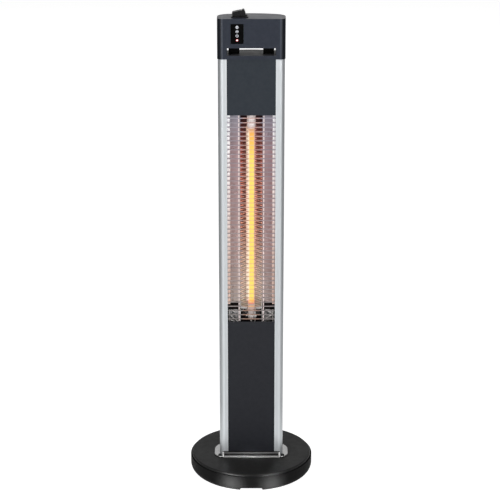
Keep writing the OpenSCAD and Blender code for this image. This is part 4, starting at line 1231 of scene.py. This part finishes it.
@dataclass
class Heater(Assembly):
    """Guard, reflector and quartz lamp."""

    wire: float = 1.25 * MM
    wire_pitch: float = 10.2 * MM
    wire_sides: int = 14
    upright_x: float = 27.7 * MM
    trough_half: float = 25 * MM
    trough_steps: int = 20
    gauge: float = 0.8 * MM
    wing_start: float = -5 * MM
    wing_end: Flat = (48.0 * MM, -13 * MM)
    wing_rise: float = 18 * MM
    lip_x: float = 49.0 * MM
    lip_end: float = 56.0 * MM
    lip_front: float = -27.5 * MM
    tube_wall: float = 1.0 * MM
    tube_steps: int = 48
    cap_ring: float = 0.5 * MM
    cap_steps: int = 40
    sleeve_wall: float = 1.7 * MM
    bracket_edge: float = 0.2 * MM
    edge_width: float = 1.5 * MM
    teeth: int = 6
    tooth_x: float = 11 * MM
    tooth_pitch: float = 2.4 * MM
    tooth_height: float = 3.4 * MM
    stay: float = 0.8 * MM
    stay_sides: int = 8
    stay_runs: tuple[tuple[Flat, Flat], ...] = (
        ((-47.5, 16.0), (-31.0, 2.0)), ((-47.0, 5.0), (-38.0, 1.0)), ((33.0, 30.5), (47.5, 20.0)),
        ((47.5, 17.0), (33.5, 9.0)), ((-46.0, 28.0), (-36.0, 24.0)))
    leg_front: float = -12 * MM
    fold_x: float = 50.0 * MM
    fold_radius: float = 1.44 * MM
    rim_depths: Flat = (-6.3 * MM, -5.9 * MM)
    clip_rise: float = 6 * MM
    clip_height: float = 3 * MM
    clip_gauge: float = 0.8 * MM
    clip_drop: float = 9 * MM
    clip_leg: float = 0.6 * MM
    ear_gap: float = 2 * MM
    ear_half: float = 1.6 * MM

    def build(self) -> None:
        """Builds every visible piece of the heater."""
        self.guard()
        self.reflector()
        self.lamp()
        self.caps()
        self.sleeve()
        self.refit("lamp_bracket_top", "upper_bracket", PLATED, self.bracket_edge)
        self.refit("lamp_bracket_bottom", "lower_bracket", CRUMPLED, self.bracket_edge)
        self.bright_edges()
        self.stays()
        self.clip()

    def axis(self) -> tuple[Flat, float]:
        """Where the lamp's tube stands.

        Returns:
            Its middle in plan and its outer radius.
        """
        low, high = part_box("quartz_tube")
        return ((low.x + high.x) / 2, (low.y + high.y) / 2), (high.x - low.x) / 2

    def guard(self) -> None:
        """The wire guard, with painted lamp light on it: cross wires, and the two uprights with the side rods in
        the rails.
        """
        low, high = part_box("guard_grille")
        front = low.y + self.wire
        first = low.z + self.wire_pitch / 2
        reach = high.x - self.wire
        wires = repeat(bar((-reach, front, first), (reach, front, first), self.wire, self.wire_sides),
                       round((high.z - low.z) / self.wire_pitch), (0.0, 0.0, self.wire_pitch))
        self.fit(smooth(wires), "guard_wires", CROSS_WIRE, "guard_grille")
        rods = [smooth(post((side.value * x, y), low.z, high.z, self.wire, self.wire_sides))
                for x, y in ((self.upright_x, front + 2 * self.wire), (reach, front)) for side in Side]
        self.fit(weld(rods), "guard_uprights", GUARD_STEEL)

    def reflector(self) -> None:
        """The bright sheet, with painted light on it: the deep round trough, the flat wings and the outer lips.
        """
        low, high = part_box("reflector")
        back = high.y - self.gauge
        xs = [self.trough_half * (2 * i / self.trough_steps - 1) for i in range(self.trough_steps + 1)]
        curve = [(x, back + (self.wing_start - back) * (x / self.trough_half) ** 2) for x in xs]
        trough = sheet_metal(curve, low.z, high.z, self.gauge)
        self.fit(smooth(trough), "reflector_trough", TROUGH_SHEET, "reflector")
        flat = [(self.trough_half, self.wing_start), self.wing_end]
        lip = [self.wing_end, (self.lip_x, self.lip_front), (self.lip_end, self.lip_front)]
        for name, right, finish in (("reflector_wings", flat, WING_SHEET), ("reflector_lips", lip, LIP_SHEET)):
            left = [(-x, y) for x, y in reversed(right)]
            sheets = [sheet_metal(path, low.z + self.wing_rise, high.z, self.gauge) for path in (right, left)]
            self.fit(smooth(weld(sheets)), name, finish)

    def lamp(self) -> None:
        """The quartz tube, lit along the glowing stretch with a painted highlight and a painted reddish
        reflection down its rims, and the coil in it.
        """
        low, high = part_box("quartz_tube")
        centre, outer = self.axis()
        inner = outer - self.tube_wall
        wall = [(inner, low.z), (outer, low.z), (outer, high.z), (inner, high.z)]
        glass = LampGlass("lamp_quartz", "quartz", (0.05, 0.03, 0.01), (0.05, 0.03, 0.01), (0.10, 0.16),
                          40.0, 0.0, 1.0, shine=0.2, strength=0.95, middle=centre[0], radius=outer)
        self.fit(smooth(lathe(wall, self.tube_steps, centre)), "lamp_tube", glass, "quartz_tube")
        coil = LampGlass("lamp_coil", "glowing_coil", (0.5, 0.4, 0.3), (0.5, 0.4, 0.3), (0.4, 0.5),
                         40.0, 0.0, 1.0, strength=2.0)
        self.coat(coil, "heating_element")

    def caps(self) -> None:
        """The ceramic caps at the tube's ends, ringed near their mouths."""
        centre, tube = self.axis()
        ring = self.cap_ring
        for node, mouth in (("lamp_cap_bottom", 1), ("lamp_cap_top", -1)):
            low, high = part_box(node)
            radius = (high.x - low.x) / 2
            middle, half = (low.z + high.z) / 2, (high.z - low.z) / 2
            bore, waist = tube + ring / 10, radius - ring
            steps = [(bore, 1), (waist, 1), (waist, 0.82), (radius, 0.78), (radius, 0.5), (waist, 0.45),
                     (waist, -0.75), (radius - 3 * ring, -1), (3.4 * ring, -1), (3.4 * ring, 0.35), (bore, 0.35)]
            profile = [(r, middle + mouth * (half * share)) for r, share in steps]
            self.fit(smooth(lathe(profile, self.cap_steps, centre)), f"{node}_ceramic", CERAMIC, node)

    def sleeve(self) -> None:
        """The white ceramic sleeve pushed over the tube's upper end, under its bracket."""
        centre, tube = self.axis()
        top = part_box("lamp_bracket_top")[0].z
        bore, outer = tube + self.cap_ring / 10, tube + self.sleeve_wall
        start = LampGlass.high
        ring = [(bore, start), (outer - self.cap_ring, start), (outer, start + self.cap_ring), (outer, top),
                (bore, top)]
        self.fit(smooth(lathe(ring, self.cap_steps, centre)), "lamp_sleeve", SLEEVE_WHITE)

    def bright_edges(self) -> None:
        """The cut edges at the reflector's lower end, and the toothed rim of its bracket, coloured pale as
        painted highlights.
        """
        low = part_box("reflector")[0].z
        half = self.edge_width / 2
        edges = []
        for side in Side:
            spot = (side.value * (self.trough_half - half), self.wing_start - half)
            edges.append(post(spot, low, low + self.wing_rise, half, self.stay_sides))
            x = side.value * self.tooth_x
            tooth = block((x - half, self.rim_depths[0], low - MM),
                          (x + half, self.rim_depths[1], low + self.tooth_height))
            edges.append(repeat(tooth, self.teeth, (side.value * self.tooth_pitch, 0.0, 0.0)))
        self.fit(smooth(weld(edges)), "reflector_edges", STAY_PAINTED_HIGHLIGHT)

    def stays(self) -> None:
        """The thin stays across the bracket's legs, and the folds down the legs' sides, coloured pale as painted
        highlights.
        """
        front = self.leg_front - self.stay / 2
        low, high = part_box("lamp_bracket_bottom")[0].z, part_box("reflector")[0].z
        stays = [bar(*[(x * MM, front, low + z * MM) for x, z in run], self.stay, self.stay_sides)
                 for run in self.stay_runs]
        for side in Side:
            for x, thick in ((self.trough_half, self.stay), (self.fold_x, self.fold_radius)):
                stays.append(post((side.value * x, front), low, high - MM, thick, self.stay_sides))
        self.fit(smooth(weld(stays)), "leg_stays", STAY_PAINTED_HIGHLIGHT)

    def clip(self) -> None:
        """The spring clip round the lower ceramic cap, with its ears and its leg, coloured pale as painted
        highlights.
        """
        centre = self.axis()[0]
        low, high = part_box("lamp_cap_bottom")
        radius = (high.x - low.x) / 2
        z, front = low.z + self.clip_rise, centre[1] - radius
        top, outer = z + self.clip_height, radius + self.clip_gauge
        parts = [lathe([(radius, z), (outer, z), (outer, top), (radius, top)], self.cap_steps, centre)]
        for side in Side:
            x = side.value * (radius + self.ear_gap)
            parts.append(block((x - self.ear_half, front, z), (x + self.ear_half, front + MM, top)))
        half = self.clip_gauge / 2
        parts.append(block((radius - self.clip_leg, front - half, low.z - self.clip_drop),
                           (radius + self.clip_leg, front + half, high.z)))
        self.fit(smooth(weld(parts)), "lamp_clip", STAY_PAINTED_HIGHLIGHT)


@dataclass
class Head(Assembly):
    """The head with its handle slot, indicator window and inner boards."""

    edge: float = 0.9 * MM
    thin_edge: float = 0.35 * MM
    post_edge: float = 1.2 * MM
    window_edge: float = 0.2 * MM
    disc_sides: int = 40
    mark_radius: float = 3.1 * MM
    mark_line: float = 1.25 * MM
    sign_proud: float = 0.05 * MM
    sign_half: float = 1.86 * MM
    sign_shift: float = 1.395 * MM
    lens_radius: float = 2.6 * MM
    core_radius: float = 1.7 * MM
    core_depth: float = 0.5 * MM

    def build(self) -> None:
        """Builds the shell, the slot and the window, and finishes the inner solids."""
        for node, name, finish, edge in (
                ("head_shell", "head_cover", HEAD_CHARCOAL, self.edge),
                ("head_plinth", "slot_floor", FLOOR_GLOSS, self.thin_edge),
                ("handle_liner", "slot_lining", LINING_CHARCOAL, self.thin_edge),
                ("left_post", "slot_left_post", POST_BLACK, self.post_edge),
                ("right_post", "slot_right_post", POST_BLACK, self.post_edge),
                ("shell_screws", "head_cover_screws", BLACK_SCREW, self.thin_edge),
                ("display_window", "indicator_window", WINDOW_BLACK, self.window_edge)):
            self.refit(node, name, finish, edge)
        self.marks()
        self.lens()
        self.coat(BOARD_GREEN, "indicator_board", "power_board")
        self.coat(RELAY_BLUE, "power_relays")
        self.coat(CAN_BLACK, "board_capacitor")
        self.coat(ZINC, "head_screws")

    def disc(self, radius: float, spot: Flat, front: float, back: float) -> Piece:
        """A disc that faces the front, between two depths."""
        x, z = spot
        return bar((x, front, z), (x, back, z), radius, self.disc_sides)

    def marks(self) -> None:
        """Three pale discs with dark signs: one bar, two bars and a dark middle."""
        low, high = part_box("light_guides")
        x = (low.x + high.x) / 2
        r, line, half, shift = self.mark_radius, self.mark_line, self.sign_half, self.sign_shift
        rise = (high.z - low.z - 2 * r) / 2
        heights = [high.z - r, high.z - r - rise, low.z + r]
        discs = [self.disc(r, (x, z), low.y, high.y) for z in heights]
        self.fit(smooth(weld(discs)), "indicator_marks", MARK_WHITE, "light_guides")
        front = low.y - self.sign_proud
        bars = [heights[0], heights[1] - shift, heights[1] + shift]
        signs = [block((x - half, front, z - line / 2), (x + half, low.y, z + line / 2)) for z in bars]
        signs.append(self.disc(r - line, (x, heights[2]), front, low.y))
        self.fit(weld(signs), "indicator_signs", MARK_DARK)

    def lens(self) -> None:
        """The lit red lens and its white-hot middle."""
        low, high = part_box("power_lens")
        spot, core_back = ((low.x + high.x) / 2, (low.z + high.z) / 2), low.y + self.core_depth
        ring = self.disc(self.lens_radius, spot, low.y, high.y)
        socket = self.disc(self.core_radius, spot, low.y - MM, core_back)
        self.fit(smooth(cut(ring, socket)), "power_lamp", LENS_RED, "power_lens")
        self.fit(smooth(self.disc(self.core_radius, spot, low.y, core_back)), "power_lamp_core", LENS_CORE)


@dataclass
class Switch(Assembly):
    """The rocker switch on top of the head."""

    rim_edge: float = 0.6 * MM

    def build(self) -> None:
        """Builds the rim and finishes the switch's inner solids."""
        self.refit("switch_bezel", "switch_rim", SWITCH_BLACK, self.rim_edge)
        self.coat(SWITCH_BLACK, "switch_body")
        self.coat(BRASS, "switch_terminals")
        self.coat(ZINC, "rocker_pin")


@dataclass
class Rocker(Assembly):
    """The switch's moving rocker."""

    body: Body = Body.ROCKER
    edge: float = 0.7 * MM

    def build(self) -> None:
        """Builds the rocker."""
        self.refit("rocker", "rocker_cap", SWITCH_BLACK, self.edge)


@dataclass
class Studio:
    """Camera, pale floor and wall, dark runner and screens, and soft light."""

    distance: float = 3.5451
    height: float = 1.6572
    aside: float = -0.0029
    tilt: float = 72.53
    lens: float = 117.47
    sensor: float = 36.0
    aim: Point = (0.0, 0.0, 0.55)
    lights: tuple[tuple[str, Point, Flat, float], ...] = (
        ("left_softbox", (-1.5, -2.0, 1.5), (1.1, 2.0), 24.0),
        ("right_softbox", (1.6, -2.0, 1.5), (1.1, 2.0), 24.0),
        ("left_strip", (-0.75, -3.0, 1.2), (0.12, 1.6), 11.0),
        ("right_strip", (0.75, -3.0, 1.2), (0.12, 1.6), 11.0),
        ("top_softbox", (0.0, -0.7, 3.0), (2.2, 2.2), 22.0),
        ("rear_softbox", (0.0, 6.0, 2.9), (5.0, 2.6), 32.0))
    pools: tuple[tuple[str, Point, Point, float], ...] = (
        ("left_pool", (-0.20, -0.50, 0.035), (-0.047, -0.134, 0.018), 62.0),
        ("right_pool", (0.20, -0.50, 0.035), (0.049, -0.134, 0.018), 56.0))
    pool_angle: float = 9.0
    pool_softness: float = 0.02
    world_light: float = 0.06
    floor_size: float = 60.0
    floor_grain: float = 0.6
    floor_tones: Stops = ((0.3, 0.45), (0.7, 0.5))
    floor_glow: float = 0.95
    mat_half: float = 0.054
    mat_front: float = -3.3
    mat_back: float = -0.19
    mat_height: float = 2 * MM
    screen_x: float = 0.85
    screen_front: float = -0.75
    screen_back: float = 1.4
    screen_height: float = 2.2
    screen_gauge: float = 20 * MM
    wall_radius: float = 28.0
    wall_height: float = 30.0
    wall_steps: int = 96
    wall_grain: float = 0.2
    wall_tones: Stops = ((0.3, 0.93), (0.7, 0.96))
    roughness: float = 0.9

    def build(self) -> None:
        """Sets up camera, floor, lights and surroundings."""
        self.camera()
        self.floor()
        self.wall()
        self.mat()
        for side in Side:
            self.screen(side)
        for name, spot, size, power in self.lights:
            lamp = self.light("AREA", name, spot, self.aim, power)
            lamp.shape = "RECTANGLE"
            lamp.size, lamp.size_y = size
        for name, spot, aim, power in self.pools:
            lamp = self.light("SPOT", name, spot, aim, power)
            lamp.spot_size = math.radians(self.pool_angle)
            lamp.spot_blend = 1.0
            lamp.shadow_soft_size = self.pool_softness
        self.surroundings()
        bpy.context.scene.view_settings.view_transform = "Standard"

    def camera(self) -> None:
        """Puts the camera at the photograph's viewing angle."""
        bpy.ops.object.camera_add(location=(self.aside, -self.distance, self.height),
                                  rotation=(math.radians(self.tilt), 0.0, 0.0))
        camera = bpy.context.scene.camera = bpy.context.object
        camera.data.lens = self.lens
        camera.data.sensor_width = self.sensor
        camera.data.dof.use_dof = False

    def floor(self) -> None:
        """Lays the pale floor."""
        bpy.ops.mesh.primitive_plane_add(size=self.floor_size, location=(0.0, 0.0, 0.0))
        floor = bpy.context.object
        floor.name = "floor"
        board = Board("pale_floor")
        board.feed("Base Color", board.ramp(board.noise(self.floor_grain), self.floor_tones))
        board.set(Roughness=self.roughness, Emission_Color=(*colour(1.0), 1.0),
                  Emission_Strength=self.floor_glow)
        floor.data.materials.append(board.material)

    def wall(self) -> None:
        """Stands a pale round wall far behind everything, which casts no light or shade on the heater."""
        bpy.ops.mesh.primitive_cylinder_add(
            vertices=self.wall_steps, radius=self.wall_radius, depth=self.wall_height,
            end_fill_type="NOTHING", location=(0.0, 0.0, self.wall_height / 3))
        wall = bpy.context.object
        wall.name = "round_wall"
        wall.visible_diffuse = wall.visible_glossy = wall.visible_transmission = wall.visible_shadow = False
        board = Board("pale_wall")
        board.feed("Emission Color", board.ramp(board.noise(self.wall_grain), self.wall_tones))
        board.set(Roughness=self.roughness, Base_Color=(*colour(0.0), 1.0), Emission_Strength=1.0)
        wall.data.materials.append(board.material)

    def mat(self) -> None:
        """Lays a dark runner on the floor between heater and camera, which the camera doesn't see."""
        half, front, back = self.mat_half, self.mat_front, self.mat_back
        outline = [(-half, front), (half, front), (half, back), (-half, back)]
        runner = prism(outline, Plane.PLAN, 0.0, self.mat_height)
        runner.name = "front_runner"
        runner.data.materials.append(CLOTH.material())
        runner.visible_camera = False

    def screen(self, side: Side) -> None:
        """Stands a dark screen beside the heater, which the camera doesn't see.

        Args:
            side: the side it stands on.
        """
        path = [(side.value * self.screen_x, y) for y in (self.screen_front, self.screen_back)]
        screen = sheet_metal(path, 0.0, self.screen_height, self.screen_gauge)
        screen.name = f"{side.name.lower()}_screen"
        screen.data.materials.append(FELT.material())
        screen.visible_camera = False

    def light(self, kind: str, name: str, spot: Point, aim: Point, power: float) -> bpy.types.Light:
        """Hangs one light.

        Args:
            kind: its kind.
            name: its name.
            spot: its place.
            aim: the point that it faces.
            power: its power in watts.

        Returns:
            The light's own settings.
        """
        run = Vector(aim) - Vector(spot)
        bpy.ops.object.light_add(type=kind, location=spot, rotation=run.to_track_quat("-Z", "Y").to_euler())
        lamp = bpy.context.object
        lamp.name = name
        lamp.data.energy = power
        return lamp.data

    def surroundings(self) -> None:
        """Fills the room with even light."""
        world = bpy.data.worlds.new("studio")
        world.use_nodes = True
        background = world.node_tree.nodes["Background"]
        tune(background, {"Color": (*colour(1.0), 1.0), "Strength": self.world_light})
        bpy.context.scene.world = world


def corners(bounds: tuple[Vector, Vector]) -> list[list[float]]:
    """A box's two corners as plain lists."""
    return [list(corner) for corner in bounds]


def main() -> None:
    """Builds the studio and every assembly."""
    logging.basicConfig(level=logging.INFO, format="%(message)s")
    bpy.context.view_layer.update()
    Studio().build()
    assemblies: list[Assembly] = [Foot(), TipSwitch(), Collar(), Column(), Heater(), Head(), Switch(), Rocker()]
    for assembly in assemblies:
        assembly.build()
    clear_hands()


if __name__ == "__main__":
    main()
